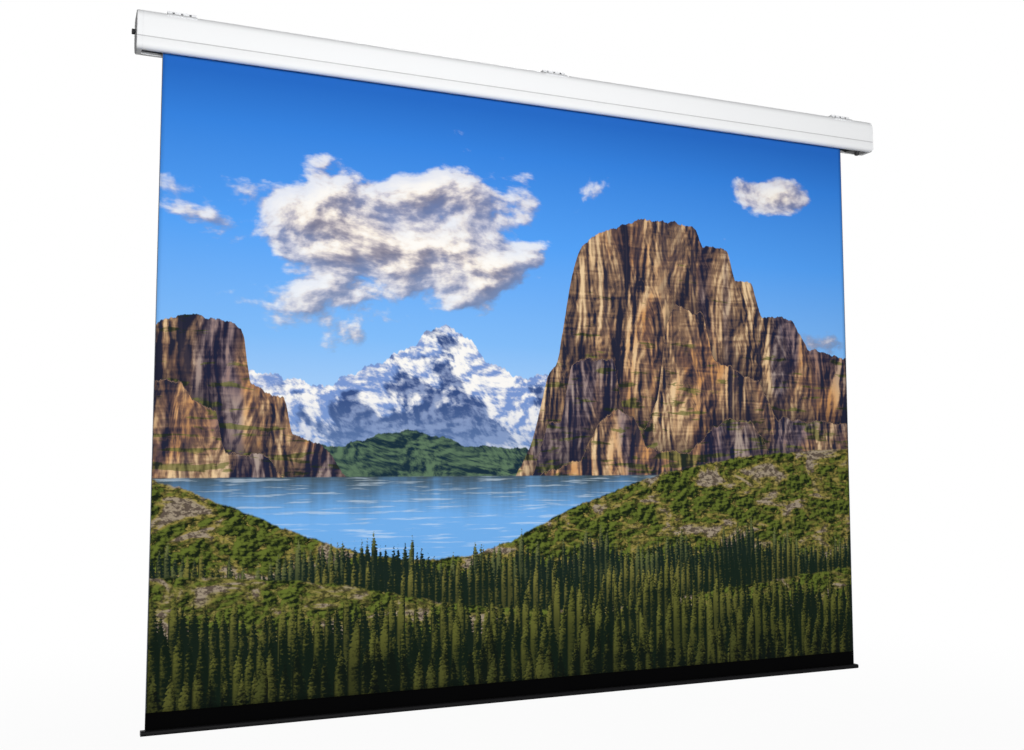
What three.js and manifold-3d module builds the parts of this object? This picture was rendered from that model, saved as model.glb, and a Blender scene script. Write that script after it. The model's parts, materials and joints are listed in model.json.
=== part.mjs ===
// A motorized projection screen that hangs from the ceiling, unrolled to its full drop.
// Millimetres, +X to the right along the casing, +Y towards the wall, +Z up. The origin is the
// centre of the middle bracket's ceiling face, so every other height is negative.
import * as THREE from "three";
import { mergeVertices } from "three/addons/utils/BufferGeometryUtils.js";
import Module from "manifold-3d";

const wasm = await Module();
wasm.setup();

// The sheet
const fabricWidth = 3000;
const pictureHeight = 2250;
const leaderHeight = 33;
const borderHeight = 57;
const fabricThickness = 0.5;

// The casing and its ends
const idlerSpace = 70;
const motorSpace = 137;
const casingDepth = 140;
const casingHeight = 145.5;
const casingWall = 2;
const shoulderRadius = 35;
const rearTopRadius = 16;
const frontBottomRadius = 19;
const lipFlat = 5;
const slotWidth = 40;
const seamHeight = 44;
const seamGrooveHeight = 4;
const seamGrooveDepth = 1.8;
const tongueHeight = 12;
const railDepth = 5;
const railHeight = 6;
const railDrop = 16;
const capLength = 20;
const capRounding = 4;
const capWall = 2.5;
const plateThickness = 3;
const slotPlateThickness = 2.5;
const slotPlateFlange = 6;

// The screw ports of the casing and the screws in them
const portRadius = 5.5;
const portHoleRadius = 1.9;
const frontPortDrop = 40;
const topPortInset = 30;
const rearPortAngle = THREE.MathUtils.degToRad(-55);
const screwLength = 16;
const screwRadius = 1.6;
const screwHeadRadius = 4;
const screwHeadHeight = 2.4;

// The roller, whose roll fills the casing's depth but for its clearance to the rear wall
const rollClearance = 11.3;
const tubeWall = 2;
const tubeOverhang = 12;
const rollerHeight = 85;
const safetyTurns = 1;
const keyWidth = 12;
const keyDepth = 5;
const keyWall = 2;
const wheelLength = 34;
const idlerPlugLength = 55;
const idlerFlange = 2;
const axleDiameter = 12;
const axleCollarRadius = 12;
const axleCollarLength = 4;
const knobDiameter = 20;
const knobLength = 12;
const knobGrips = 12;
const knobGripDepth = 0.9;
const knobGripRadius = 1.35;

// The tubular motor
const motorDiameter = 45;
const motorWall = 1.5;
const motorLength = 480;
const headDiameter = 54;
const headLength = 28;
const headNeckLength = 12;
const spigotSize = 14;
const spigotLength = 10;
const standoffSize = 44;
const standoffWall = 3;
const limitBlockLength = 125;
const capacitorLength = 80;
const brakeCoilLength = 31;
const brakeDiscLength = 4;
const brakeDiscRadius = 14;
const rotorInset = 4;
const rotorRadius = 11;
const motorShaftRadius = 4;
const shieldLength = 6;
const pieceSpacing = 5;
const bearingLength = 36;
const outputShaftRadius = 7;
const outputSquare = 12;
const limitScrewRadius = 3;
const limitScrewLength = 10;
const limitScrewSpacing = 11;
const driverSlotWidth = 1;
const driverSlotDepth = 1.6;

// The two planetary stages, whose ring gear is one long sleeve
const gearModule = 0.55;
const sunTeeth = 8;
const planetTeeth = 28;
const planetCount = 3;
const gearWidth = 16;
const gearAddendum = 0.42;
const gearDedendum = 0.62;
const toothThicknessShare = 0.8;
const flankAngle = THREE.MathUtils.degToRad(20);
const planetPinRadius = 1.9;
const carrierThickness = 5;

// The supply
const glandRadius = 11;
const glandDrop = 14;
const glandNeckRadius = 8.5;
const glandBore = 4.2;
const glandNeckLength = 16;
const glandFromEnd = 41.5;
const boxLength = 36;
const boxDepth = 46;
const boxHeight = 40;
const leadRadius = 3;
const leadBend = 18;

// The bottom bar
const barHeight = 17;
const barDepth = 30;
const barCorner = 6;
const barWall = 2;
const barOverhang = 12;
const barCapThickness = 2;
const barCapPlug = 8;
const barSlotWidth = 1.6;
const hemDepth = 6;

// The three brackets
const bracketRise = 12;
const bracketWidth = 100;
const bracketSheet = 2.5;
const bracketSpacing = 1466;
const bracketInset = 142.5;
const hookAngle = THREE.MathUtils.degToRad(55);
const channelHalfDepth = 39;
const bracketSlotWidth = 8;
const bracketSlotPitch = 29;
const mountHoleRadius = 3.3;
const mountHolePitch = 50;
const mountHoleOffset = 25;
const armGap = 10;
const armDrop = 34;
const jawWidth = 40;
const jawThickness = 4;
const jawReach = 0.8;
const jawHeight = 22;
const clampScrewRadius = 3;
const clampScrewDrop = 10.5;
const clampHeadRadius = 6;
const clampHeadLength = 6;

// Clearances
const gap = 0.3;
const bearingGap = 0.3;
const overrun = 5;

// Facets of the round stretches
const arcSteps = 6;
const capSteps = 5;
const roundSteps = 32;
const smallSteps = 12;
const leadSteps = 24;

// Places worked out from the sizes
const bodyLength = idlerSpace + fabricWidth + motorSpace;
const bodyRight = bracketSpacing + bracketInset;
const bodyLeft = bodyRight - bodyLength;
const fabricLeft = bodyLeft + idlerSpace;
const fabricRight = fabricLeft + fabricWidth;
const casingTop = -bracketRise;
const lip = casingTop - casingHeight;
const seam = lip + seamHeight;
const casingFront = -casingDepth / 2;
const casingRear = casingDepth / 2;
const slotFront = casingFront + frontBottomRadius + lipFlat;
const slotRear = slotFront + slotWidth;
const rearBottomRadius = casingRear - slotRear;
const fabricPlane = (slotFront + slotRear) / 2;
const tubeLeft = fabricLeft - tubeOverhang;
const tubeRight = fabricRight + tubeOverhang;
const rollRadius = (casingRear - casingWall - rollClearance - fabricPlane) / 2;
const wrapPitch = fabricThickness + gap;
const tubeRadius = rollRadius - fabricThickness / 2 - wrapPitch * safetyTurns - gap;
const axisY = fabricPlane + rollRadius;
const axisZ = lip + rollerHeight;
const barTop = lip - leaderHeight - pictureHeight - borderHeight;
const barLeft = fabricLeft - barOverhang;
const barRight = fabricRight + barOverhang;
const motorRadius = motorDiameter / 2;
const motorBore = motorRadius - motorWall;
const motorFit = motorBore - gap;
const ringTeeth = sunTeeth + 2 * planetTeeth;
const planetOrbit = (gearModule * (sunTeeth + planetTeeth)) / 2;
const headLeft = tubeRight + gap;
const headRight = headLeft + headLength;
const standoffLeft = headRight + gap;

// Finishes
function finish(color, roughness, metalness) {
  return new THREE.MeshStandardMaterial({ color, roughness, metalness });
}
const whitePaint = finish(0xf4f5f7, 0.35, 0.1);
const bracketPaint = finish(0xe9eaec, 0.4, 0.1);
const blackPlastic = finish(0x111214, 0.5, 0);
const greyPlastic = finish(0x8c9094, 0.55, 0);
const yellowPlastic = finish(0xd8b21c, 0.5, 0);
const whitePlastic = finish(0xeeeeea, 0.5, 0);
const zincSteel = finish(0xb9bdc2, 0.35, 0.9);
const darkSteel = finish(0x4b4e53, 0.45, 0.85);
const copper = finish(0xa8602f, 0.4, 0.8);
const bronze = finish(0xa98a4a, 0.4, 0.8);
const bareAluminium = finish(0xc9cccf, 0.4, 0.85);
const blackAluminium = finish(0x1a1b1d, 0.4, 0.6);
const screenCloth = finish(0xf2f3f4, 0.9, 0);
const blackCloth = finish(0x0a0a0b, 0.9, 0);
const blackRubber = finish(0x161616, 0.8, 0);

const fullTurn = 2 * Math.PI;
const halfTurn = fullTurn / 2;
const quarter = fullTurn / 4;

// Outlines lie in the plane of Y and Z: a point's x is its Y and its y is its Z.
function at(y, z) {
  return new THREE.Vector2(y, z);
}

function arc(y, z, radius, fromAngle, toAngle, steps = arcSteps) {
  return Array.from({ length: steps + 1 }, (_, i) => {
    const angle = fromAngle + ((toAngle - fromAngle) * i) / steps;
    return at(y + radius * Math.cos(angle), z + radius * Math.sin(angle));
  });
}

function circle(radius, steps = roundSteps, y = 0, z = 0) {
  return arc(y, z, radius, 0, fullTurn, steps).slice(0, steps);
}

function rectangle(yLow, yHigh, zLow, zHigh) {
  return [at(yLow, zLow), at(yHigh, zLow), at(yHigh, zHigh), at(yLow, zHigh)];
}

// Solids are made with three.js geometries and joined or cut as manifold solids.
function solidOf(geometry) {
  const bare = geometry.clone();
  bare.deleteAttribute("normal");
  bare.deleteAttribute("uv");
  const merged = mergeVertices(bare);
  return new wasm.Manifold(
    new wasm.Mesh({
      numProp: 3,
      vertProperties: new Float32Array(merged.attributes.position.array),
      triVerts: new Uint32Array(merged.index.array),
    }),
  );
}

function meshOf(name, solid, material) {
  const { numProp, vertProperties, triVerts } = solid.getMesh();
  const points = new Float32Array((vertProperties.length / numProp) * 3);
  for (let i = 0; i * 3 < points.length; i++)
    points.set(vertProperties.subarray(i * numProp, i * numProp + 3), i * 3);
  const geometry = new THREE.BufferGeometry();
  geometry.setAttribute("position", new THREE.BufferAttribute(points, 3));
  geometry.setIndex(new THREE.BufferAttribute(new Uint32Array(triVerts), 1));
  geometry.computeVertexNormals();
  const mesh = new THREE.Mesh(geometry, material);
  mesh.name = name;
  return mesh;
}

// An outline drawn out along X.
const outlineToWorld = new THREE.Matrix4().makeBasis(
  new THREE.Vector3(0, 1, 0),
  new THREE.Vector3(0, 0, 1),
  new THREE.Vector3(1, 0, 0),
);
function prism(outline, xLow, xHigh, holes = []) {
  const shape = new THREE.Shape(outline);
  shape.holes = holes.map((hole) => new THREE.Path(hole));
  const settings = { depth: xHigh - xLow, bevelEnabled: false };
  const geometry = new THREE.ExtrudeGeometry(shape, settings);
  geometry.applyMatrix4(outlineToWorld).translate(xLow, 0, 0);
  return solidOf(geometry);
}

function block(xLow, xHigh, yLow, yHigh, zLow, zHigh) {
  const geometry = new THREE.BoxGeometry(xHigh - xLow, yHigh - yLow, zHigh - zLow);
  geometry.translate((xLow + xHigh) / 2, (yLow + yHigh) / 2, (zLow + zHigh) / 2);
  return solidOf(geometry);
}

function disc(radius, xLow, xHigh, steps = roundSteps) {
  return prism(circle(radius, steps), xLow, xHigh);
}

function ring(outer, inner, xLow, xHigh, steps = roundSteps) {
  return prism(circle(outer, steps), xLow, xHigh, [circle(inner, steps)]);
}

// A round solid that stands along Z, turned from its radii and heights.
function turned(profile, steps = smallSteps * 2) {
  const geometry = new THREE.LatheGeometry(profile, steps);
  return solidOf(geometry.rotateX(quarter));
}

// Convex outlines at rising X, joined into one closed body.
function loft(sections) {
  const count = sections[0].outline.length;
  const points = sections.flatMap(({ x, outline }) => outline.flatMap((p) => [x, p.x, p.y]));
  const index = [];
  for (let i = 0; i + 1 < sections.length; i++)
    for (let j = 0; j < count; j++) {
      const a = i * count + j;
      const b = i * count + ((j + 1) % count);
      index.push(a, b, b + count, a, b + count, a + count);
    }
  const last = (sections.length - 1) * count;
  for (let j = 1; j + 1 < count; j++) {
    index.push(0, j + 1, j);
    index.push(last, last + j, last + j + 1);
  }
  const geometry = new THREE.BufferGeometry();
  geometry.setAttribute("position", new THREE.Float32BufferAttribute(points, 3));
  geometry.setIndex(index);
  return solidOf(geometry);
}

// The casing's outer outline with its slot closed, moved inwards all round by an inset.
function casingOutline(inset) {
  const bottomY = casingFront + frontBottomRadius;
  const bottomZ = lip + frontBottomRadius;
  const rearZ = lip + rearBottomRadius;
  const topY = casingRear - rearTopRadius;
  const topZ = casingTop - rearTopRadius;
  const shoulderY = casingFront + shoulderRadius;
  const shoulderZ = casingTop - shoulderRadius;
  return [
    ...arc(bottomY, bottomZ, frontBottomRadius - inset, halfTurn, 3 * quarter),
    ...arc(slotRear, rearZ, rearBottomRadius - inset, -quarter, 0),
    ...arc(topY, topZ, rearTopRadius - inset, 0, quarter),
    ...arc(shoulderY, shoulderZ, shoulderRadius - inset, quarter, halfTurn),
  ];
}

// Places of the three screw ports, each sunk a little into the wall that carries it.
const portSink = portHoleRadius / 4;
const portInset = casingWall + portRadius - portSink;
const portCentres = [
  at(casingFront + portInset, casingTop - frontPortDrop),
  at(casingRear - topPortInset, casingTop - portInset),
  at(
    slotRear + (rearBottomRadius - portInset) * Math.cos(rearPortAngle),
    lip + rearBottomRadius + (rearBottomRadius - portInset) * Math.sin(rearPortAngle),
  ),
];

// The rail is a groove pressed into the rear wall, and the brackets' jaws grip it.
const railTop = casingTop - railDrop - rearTopRadius / 2;
const railBottom = railTop - railHeight;

function casingProfile() {
  const inner = casingWall;
  const shoulderY = casingFront + shoulderRadius;
  const shoulderZ = casingTop - shoulderRadius;
  const cornerY = casingRear - rearTopRadius;
  const cornerZ = casingTop - rearTopRadius;
  const rearZ = lip + rearBottomRadius;
  const seamEdge = seam + gap / 2;
  const outline = [
    at(casingFront + seamGrooveDepth, seamEdge),
    at(casingFront, seam + seamGrooveHeight / 2),
    ...arc(shoulderY, shoulderZ, shoulderRadius, halfTurn, quarter),
    ...arc(cornerY, cornerZ, rearTopRadius, quarter, 0),
    at(casingRear, railTop),
    at(casingRear - railDepth, railTop),
    at(casingRear - railDepth, railBottom),
    at(casingRear, railBottom),
    ...arc(slotRear, rearZ, rearBottomRadius, 0, -quarter, 2 * arcSteps),
    ...arc(slotRear, rearZ, rearBottomRadius - inner, -quarter, 0, 2 * arcSteps),
    at(casingRear - inner, railBottom - inner),
    at(casingRear - railDepth - inner, railBottom - inner),
    at(casingRear - railDepth - inner, railTop + inner),
    at(casingRear - inner, railTop + inner),
    ...arc(cornerY, cornerZ, rearTopRadius - inner, 0, quarter),
    ...arc(shoulderY, shoulderZ, shoulderRadius - inner, quarter, halfTurn),
    at(casingFront + inner, seamEdge),
  ];
  let solid = prism(outline, bodyLeft, bodyRight);
  for (const { x, y } of portCentres)
    solid = solid.add(prism(circle(portRadius, smallSteps, x, y), bodyLeft, bodyRight));
  for (const { x, y } of portCentres) {
    const hole = circle(portHoleRadius, smallSteps / 2, x, y);
    solid = solid.subtract(prism(hole, bodyLeft - overrun, bodyRight + overrun));
  }
  return solid;
}

function frontLowerCover() {
  const bottomY = casingFront + frontBottomRadius;
  const bottomZ = lip + frontBottomRadius;
  const tongueFront = casingFront + casingWall + gap;
  const outline = [
    at(slotFront, lip),
    ...arc(bottomY, bottomZ, frontBottomRadius, -quarter, -halfTurn),
    at(casingFront, seam - seamGrooveHeight / 2),
    at(casingFront + seamGrooveDepth, seam - gap / 2),
    at(tongueFront, seam - gap / 2),
    at(tongueFront, seam + tongueHeight),
    at(tongueFront + casingWall, seam + tongueHeight),
    at(tongueFront + casingWall, seam - casingWall),
    at(casingFront + casingWall, seam - 2 * casingWall),
    ...arc(bottomY, bottomZ, frontBottomRadius - casingWall, -halfTurn, -quarter),
    at(slotFront, lip + casingWall),
  ];
  return prism(outline, bodyLeft, bodyRight);
}

// A side is -1 at the casing's left end and 1 at its right.
function bodyEnd(side) {
  return side > 0 ? bodyRight : bodyLeft;
}

// An end cap is a shell with rounded edges.
function capShell(side, wall) {
  const face = capLength - wall;
  const rounding = capRounding - wall;
  const start = wall ? -overrun : gap;
  const sections = [{ reach: start, inset: wall }];
  for (let i = 0; i <= capSteps; i++) {
    const angle = (quarter * i) / capSteps;
    const reach = face - rounding + rounding * Math.sin(angle);
    sections.push({ reach, inset: wall + rounding * (1 - Math.cos(angle)) });
  }
  const placed = sections.map(({ reach, inset }) => ({
    x: bodyEnd(side) + side * reach,
    outline: casingOutline(inset),
  }));
  return loft(side > 0 ? placed : placed.reverse());
}

function endCap(side) {
  return capShell(side, 0).subtract(capShell(side, capWall));
}

const axleRadius = axleDiameter / 2;
const plateInset = capWall + gap;

function leftEndCap() {
  const bore = circle(axleRadius + gap, smallSteps, axisY, axisZ);
  return endCap(-1).subtract(prism(bore, bodyLeft - 2 * capLength, bodyLeft));
}

function supportPlate(xLow, holes) {
  const screwHoles = portCentres.map(({ x, y }) => circle(screwRadius + gap, smallSteps, x, y));
  const xHigh = xLow + plateThickness;
  return prism(casingOutline(plateInset), xLow, xHigh, [...screwHoles, ...holes]);
}

const leftPlateLow = bodyLeft - gap - plateThickness;
const rightPlateLow = bodyRight + gap;

function leftSupportPlate() {
  return supportPlate(leftPlateLow, [circle(axleRadius + gap, smallSteps, axisY, axisZ)]);
}

// The right plate carries the motor on a square standoff, closed where the motor's spigot enters.
function rightSupportPlate() {
  const half = standoffSize / 2;
  const hollow = half - standoffWall;
  const spigotHalf = spigotSize / 2 + gap;
  const inside = rectangle(axisY - hollow, axisY + hollow, axisZ - hollow, axisZ + hollow);
  const outside = rectangle(axisY - half, axisY + half, axisZ - half, axisZ + half);
  const spigot = rectangle(
    axisY - spigotHalf,
    axisY + spigotHalf,
    axisZ - spigotHalf,
    axisZ + spigotHalf,
  );
  const wallEnd = standoffLeft + standoffWall;
  return supportPlate(rightPlateLow, [inside])
    .add(prism(outside, wallEnd, rightPlateLow + gap, [inside]))
    .add(prism(outside, standoffLeft, wallEnd, [spigot]));
}

// A plate screw lies along X with its head outwards. Its side is the end that it is driven from.
function plateScrew(side) {
  const underHead = bodyEnd(side) + side * (gap + plateThickness + gap);
  const low = side > 0 ? underHead - screwLength : underHead;
  const headLow = side > 0 ? underHead : underHead - screwHeadHeight;
  const slotLow = side > 0 ? underHead + screwHeadHeight - driverSlotDepth : headLow - overrun;
  const slotLength = driverSlotDepth + overrun;
  const halfSlot = driverSlotWidth / 2;
  return disc(screwRadius, low, low + screwLength, smallSteps / 2)
    .add(disc(screwHeadRadius, headLow, headLow + screwHeadHeight, smallSteps))
    .subtract(
      block(
        slotLow,
        slotLow + slotLength,
        -halfSlot,
        halfSlot,
        -screwHeadRadius - overrun,
        screwHeadRadius + overrun,
      ),
    );
}

const glandX = bodyRight - glandFromEnd;
const slotFlangeLow = lip + casingWall + 2 * gap;
const slotPlateTop = slotFlangeLow + slotPlateThickness;
const slotPlateLow = headRight;

// The slot plate closes the slot under the motor's head and rests on the slot's two lips.
function slotPlate() {
  const xHigh = bodyRight - gap;
  const hole = turned([
    at(0, lip - overrun),
    at(glandNeckRadius + gap, lip - overrun),
    at(glandNeckRadius + gap, slotPlateTop + overrun),
    at(0, slotPlateTop + overrun),
  ]).translate(glandX, fabricPlane, 0);
  const flange = block(
    slotPlateLow,
    xHigh,
    slotFront - slotPlateFlange,
    slotRear + slotPlateFlange,
    slotFlangeLow,
    slotPlateTop,
  );
  return block(slotPlateLow, xHigh, slotFront + gap, slotRear - gap, lip, slotPlateTop)
    .add(flange)
    .subtract(hole);
}

// The supply gland hangs below the slot plate. Its bore is open from end to end.
function powerGland() {
  const neckTop = slotPlateTop + glandNeckLength;
  const dome = arc(
    glandRadius - glandNeckRadius / 2,
    lip - glandDrop + glandNeckRadius / 2,
    glandNeckRadius / 2,
    -quarter,
    0,
    arcSteps / 2,
  );
  return turned([
    at(glandBore, lip - glandDrop),
    ...dome,
    at(glandRadius, lip - gap),
    at(glandNeckRadius, lip - gap),
    at(glandNeckRadius, neckTop),
    at(glandBore, neckTop),
    at(glandBore, lip - glandDrop),
  ]);
}

const boxLeft = slotPlateLow + pieceSpacing;
const boxBottom = slotPlateTop + gap;
const boxTop = boxBottom + boxHeight;

function terminalBox() {
  return block(
    boxLeft,
    boxLeft + boxLength,
    fabricPlane - boxDepth / 2,
    fabricPlane + boxDepth / 2,
    boxBottom,
    boxTop,
  );
}

// The lead rises from the box and turns back into the front of the motor's head.
function motorLead() {
  const startX = boxLeft + boxLength / 2;
  const endX = headLeft + headLength / 2;
  const midX = (startX + endX) / 2;
  const endY = axisY - headDiameter / 2 - gap;
  const route = new THREE.CatmullRomCurve3([
    new THREE.Vector3(startX, fabricPlane, boxTop + gap),
    new THREE.Vector3(startX, fabricPlane, boxTop + leadBend / 2),
    new THREE.Vector3(midX, fabricPlane - leadRadius, (boxTop + axisZ) / 2 + leadBend / 3),
    new THREE.Vector3(endX, endY - leadBend, axisZ - leadRadius),
    new THREE.Vector3(endX, endY - leadBend / 2, axisZ),
    new THREE.Vector3(endX, endY, axisZ),
  ]);
  const section = new THREE.Shape(circle(leadRadius, arcSteps));
  const settings = { steps: leadSteps, extrudePath: route };
  return solidOf(new THREE.ExtrudeGeometry(section, settings));
}

// Pieces round the roller's axis are made about Y = 0 and Z = 0, and their group is placed.
const keyHalf = keyWidth / 2;
const keyGroove = keyHalf - keyWall;
const keyFloor = tubeRadius - keyDepth;

function rollerTube() {
  const boss = block(tubeLeft, tubeRight, -tubeRadius + tubeWall / 2, -keyFloor, -keyHalf, keyHalf);
  const groove = block(
    tubeLeft - overrun,
    tubeRight + overrun,
    -tubeRadius - overrun,
    -keyFloor - keyWall,
    -keyGroove,
    keyGroove,
  );
  const tube = ring(tubeRadius, tubeRadius - tubeWall, tubeLeft, tubeRight);
  return tube.add(boss).subtract(groove);
}

function fabricBatten() {
  return block(
    fabricLeft,
    fabricRight,
    -tubeRadius + gap,
    -keyFloor - keyWall - gap,
    -keyGroove + gap,
    keyGroove - gap,
  );
}

// The safety turns left on the tube: one strip in a spiral, from the front tangent over the top.
function fabricWraps() {
  const steps = roundSteps * safetyTurns;
  const outer = [];
  const inner = [];
  for (let i = 0; i <= steps; i++) {
    const turn = i / roundSteps;
    const angle = halfTurn - fullTurn * turn;
    const low = rollRadius - fabricThickness / 2 - wrapPitch * turn;
    inner.push(at(low * Math.cos(angle), low * Math.sin(angle)));
    const high = low + fabricThickness;
    outer.push(at(high * Math.cos(angle), high * Math.sin(angle)));
  }
  return prism([...outer, ...inner.reverse()], fabricLeft, fabricRight);
}

// A wheel that fits inside the tube, with the keyway that the tube's groove turns it by.
function tubeWheel(xLow, xHigh, boreOutline) {
  const rim = tubeRadius - tubeWall - gap;
  const keyway = block(
    xLow - overrun,
    xHigh + overrun,
    -tubeRadius,
    -keyFloor + gap,
    -keyHalf - gap,
    keyHalf + gap,
  );
  return prism(circle(rim), xLow, xHigh, [boreOutline]).subtract(keyway);
}

// The idler plug closes the tube's left end with a flange and turns on the fixed axle.
function idlerPlug() {
  const bore = axleRadius + bearingGap;
  const flange = ring(tubeRadius - gap, bore, tubeLeft - gap - idlerFlange, tubeLeft - gap);
  const body = tubeWheel(tubeLeft - gap, tubeLeft + idlerPlugLength, circle(bore));
  return body.add(flange);
}

const capFace = bodyLeft - capLength;

function idlerAxle() {
  const outerEnd = capFace - knobLength / 2;
  const innerEnd = tubeLeft + idlerPlugLength - pieceSpacing;
  const collar = disc(axleCollarRadius, bodyLeft, bodyLeft + axleCollarLength, smallSteps * 2);
  return disc(axleRadius, outerEnd, innerEnd, smallSteps * 2).add(collar);
}

// The round grip nut on the axle's outer end, scalloped for the fingers.
function axleKnob() {
  const radius = knobDiameter / 2;
  const face = capFace - gap;
  let knob = disc(radius, face - knobLength, face, roundSteps);
  const bore = circle(axleRadius + gap, smallSteps * 2);
  knob = knob.subtract(prism(bore, face - knobLength / 2 - gap, face + overrun));
  for (let i = 0; i < knobGrips; i++) {
    const angle = (fullTurn * i) / knobGrips;
    const orbit = radius - knobGripDepth + knobGripRadius;
    const y = orbit * Math.cos(angle);
    const z = orbit * Math.sin(angle);
    const scallop = circle(knobGripRadius, arcSteps, y, z);
    knob = knob.subtract(prism(scallop, face - knobLength - overrun, face + overrun));
  }
  return knob;
}

// The motor's controls and brake follow its head, its bearing and gears start from its left end,
// and the stator fills the length between them.
const motorRight = headLeft - gap;
const motorLeft = motorRight - motorLength;
const limitBlockHigh = headLeft - headNeckLength - pieceSpacing;
const limitBlockLow = limitBlockHigh - limitBlockLength;
const capacitorHigh = limitBlockLow - pieceSpacing;
const capacitorLow = capacitorHigh - capacitorLength;
const brakeCoilHigh = capacitorLow - pieceSpacing;
const brakeCoilLow = brakeCoilHigh - brakeCoilLength;
const brakeDiscHigh = brakeCoilLow - bearingGap;
const brakeDiscLow = brakeDiscHigh - brakeDiscLength;
const bearingLow = motorLeft;
const bearingHigh = bearingLow + bearingLength;
const outputCarrierLow = bearingHigh + bearingGap;
const outputCarrierHigh = outputCarrierLow + carrierThickness;
const outputGearLow = outputCarrierHigh + bearingGap;
const outputGearHigh = outputGearLow + gearWidth;
const firstCarrierLow = outputGearHigh + bearingGap;
const firstCarrierHigh = firstCarrierLow + carrierThickness;
const inputGearLow = firstCarrierHigh + bearingGap;
const inputGearHigh = inputGearLow + gearWidth;
const shieldLow = inputGearHigh + 2 * bearingGap;
const shieldHigh = shieldLow + shieldLength;
const statorLow = shieldHigh + pieceSpacing;
const statorHigh = brakeDiscLow - 2 * pieceSpacing;
const rotorLow = statorLow + rotorInset;
const rotorHigh = statorHigh - rotorInset;
const driveWheelHigh = motorLeft - pieceSpacing;
const driveWheelLow = driveWheelHigh - wheelLength;

// The limit screws point from the roller's axis towards the slot, where a driver reaches them.
const limitScrewTurn = Math.atan2(fabricPlane - axisY, axisZ - lip);
const limitScrewX = [
  (headLeft + headRight - limitScrewSpacing) / 2,
  (headLeft + headRight + limitScrewSpacing) / 2,
];
const limitScrewFoot = headDiameter / 2 - limitScrewLength;

function limitScrewHole(x) {
  return turned([
    at(0, -headDiameter),
    at(limitScrewRadius + gap, -headDiameter),
    at(limitScrewRadius + gap, -limitScrewFoot + gap),
    at(0, -limitScrewFoot + gap),
  ])
    .rotate(THREE.MathUtils.radToDeg(limitScrewTurn), 0, 0)
    .translate(x, 0, 0);
}

function motorHead() {
  const half = spigotSize / 2;
  let head = disc(headDiameter / 2, headLeft, headRight)
    .add(disc(motorFit, headLeft - headNeckLength, headLeft))
    .add(block(headRight, headRight + spigotLength, -half, half, -half, half));
  for (const x of limitScrewX) head = head.subtract(limitScrewHole(x));
  return head;
}

function limitScrew() {
  const foot = -limitScrewFoot;
  const head = foot - limitScrewLength + gap;
  const halfSlot = driverSlotWidth / 2;
  return turned([
    at(0, head),
    at(limitScrewRadius, head),
    at(limitScrewRadius, foot),
    at(0, foot),
  ]).subtract(
    block(
      -limitScrewRadius - overrun,
      limitScrewRadius + overrun,
      -halfSlot,
      halfSlot,
      head - overrun,
      head + driverSlotDepth,
    ),
  );
}

function crownWheel() {
  const bore = circle(motorRadius + bearingGap);
  return tubeWheel(tubeRight - pieceSpacing - wheelLength, tubeRight - pieceSpacing, bore);
}

function driveWheel() {
  const half = outputSquare / 2 + gap;
  return tubeWheel(driveWheelLow, driveWheelHigh, rectangle(-half, half, -half, half));
}

// Gear teeth have straight flanks, thinned a little for backlash.
function toothPoints(teeth, pitchRadius, tip, root, phase) {
  const pitch = fullTurn / teeth;
  const halfThickness = (Math.PI * gearModule * toothThicknessShare) / 4;
  const halfAngle = (radius) => {
    const taper = Math.abs(radius - pitchRadius) * Math.tan(flankAngle);
    const isTip = Math.abs(radius - tip) < Math.abs(radius - root);
    return (isTip ? halfThickness - taper : halfThickness + taper) / radius;
  };
  const corners = [
    [root, -halfAngle(root)],
    [tip, -halfAngle(tip)],
    [tip, halfAngle(tip)],
    [root, halfAngle(root)],
  ];
  return Array.from({ length: teeth }, (_, i) =>
    corners.map(([radius, turn]) => {
      const angle = phase + i * pitch + turn;
      return at(radius * Math.cos(angle), radius * Math.sin(angle));
    }),
  ).flat();
}

function gearOutline(teeth, phase = 0) {
  const pitchRadius = (gearModule * teeth) / 2;
  const tip = pitchRadius + gearAddendum;
  return toothPoints(teeth, pitchRadius, tip, pitchRadius - gearDedendum, phase);
}

const ringPitch = (gearModule * ringTeeth) / 2;

function ringGear() {
  const tip = ringPitch - gearAddendum;
  const teeth = toothPoints(ringTeeth, ringPitch, tip, ringPitch + gearDedendum, 0);
  return prism(circle(motorFit), outputGearLow, inputGearHigh, [teeth]);
}

// Each planet stands at its own angle, and is turned so that its teeth meet the ring's.
const planetAngles = Array.from(
  { length: planetCount },
  (_, i) => quarter + (fullTurn * i) / planetCount,
);
function planetPhase(angle) {
  const planetStep = fullTurn / planetTeeth;
  const ringStep = fullTurn / ringTeeth;
  return angle - planetStep * (angle / ringStep + 0.5);
}

function planet(angle, xLow) {
  const bore = circle(planetPinRadius + bearingGap, smallSteps);
  return prism(gearOutline(planetTeeth, planetPhase(angle)), xLow, xLow + gearWidth, [bore]);
}

const carrierRadius = ringPitch - gearAddendum - gap;

function carrier(discLow, pinHigh) {
  let body = disc(carrierRadius, discLow, discLow + carrierThickness);
  for (const angle of planetAngles) {
    const y = planetOrbit * Math.cos(angle);
    const z = planetOrbit * Math.sin(angle);
    const pin = circle(planetPinRadius, smallSteps, y, z);
    body = body.add(prism(pin, discLow + carrierThickness / 2, pinHigh));
  }
  return body;
}

function firstCarrier() {
  const sun = prism(gearOutline(sunTeeth), outputGearLow + bearingGap, firstCarrierLow + gap);
  return carrier(firstCarrierLow, inputGearHigh).add(sun);
}

function outputCarrier() {
  const half = outputSquare / 2;
  const squareLow = driveWheelLow + gap;
  const roundLow = driveWheelHigh + gap;
  return carrier(outputCarrierLow, outputGearHigh)
    .add(disc(outputShaftRadius, roundLow, outputCarrierLow + gap, smallSteps * 2))
    .add(block(squareLow, roundLow + gap, -half, half, -half, half));
}

function rotorShaft() {
  const pinion = prism(gearOutline(sunTeeth), inputGearLow + bearingGap, shieldLow + gap);
  return disc(motorShaftRadius, shieldLow, brakeCoilHigh - pieceSpacing, smallSteps).add(pinion);
}

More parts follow.
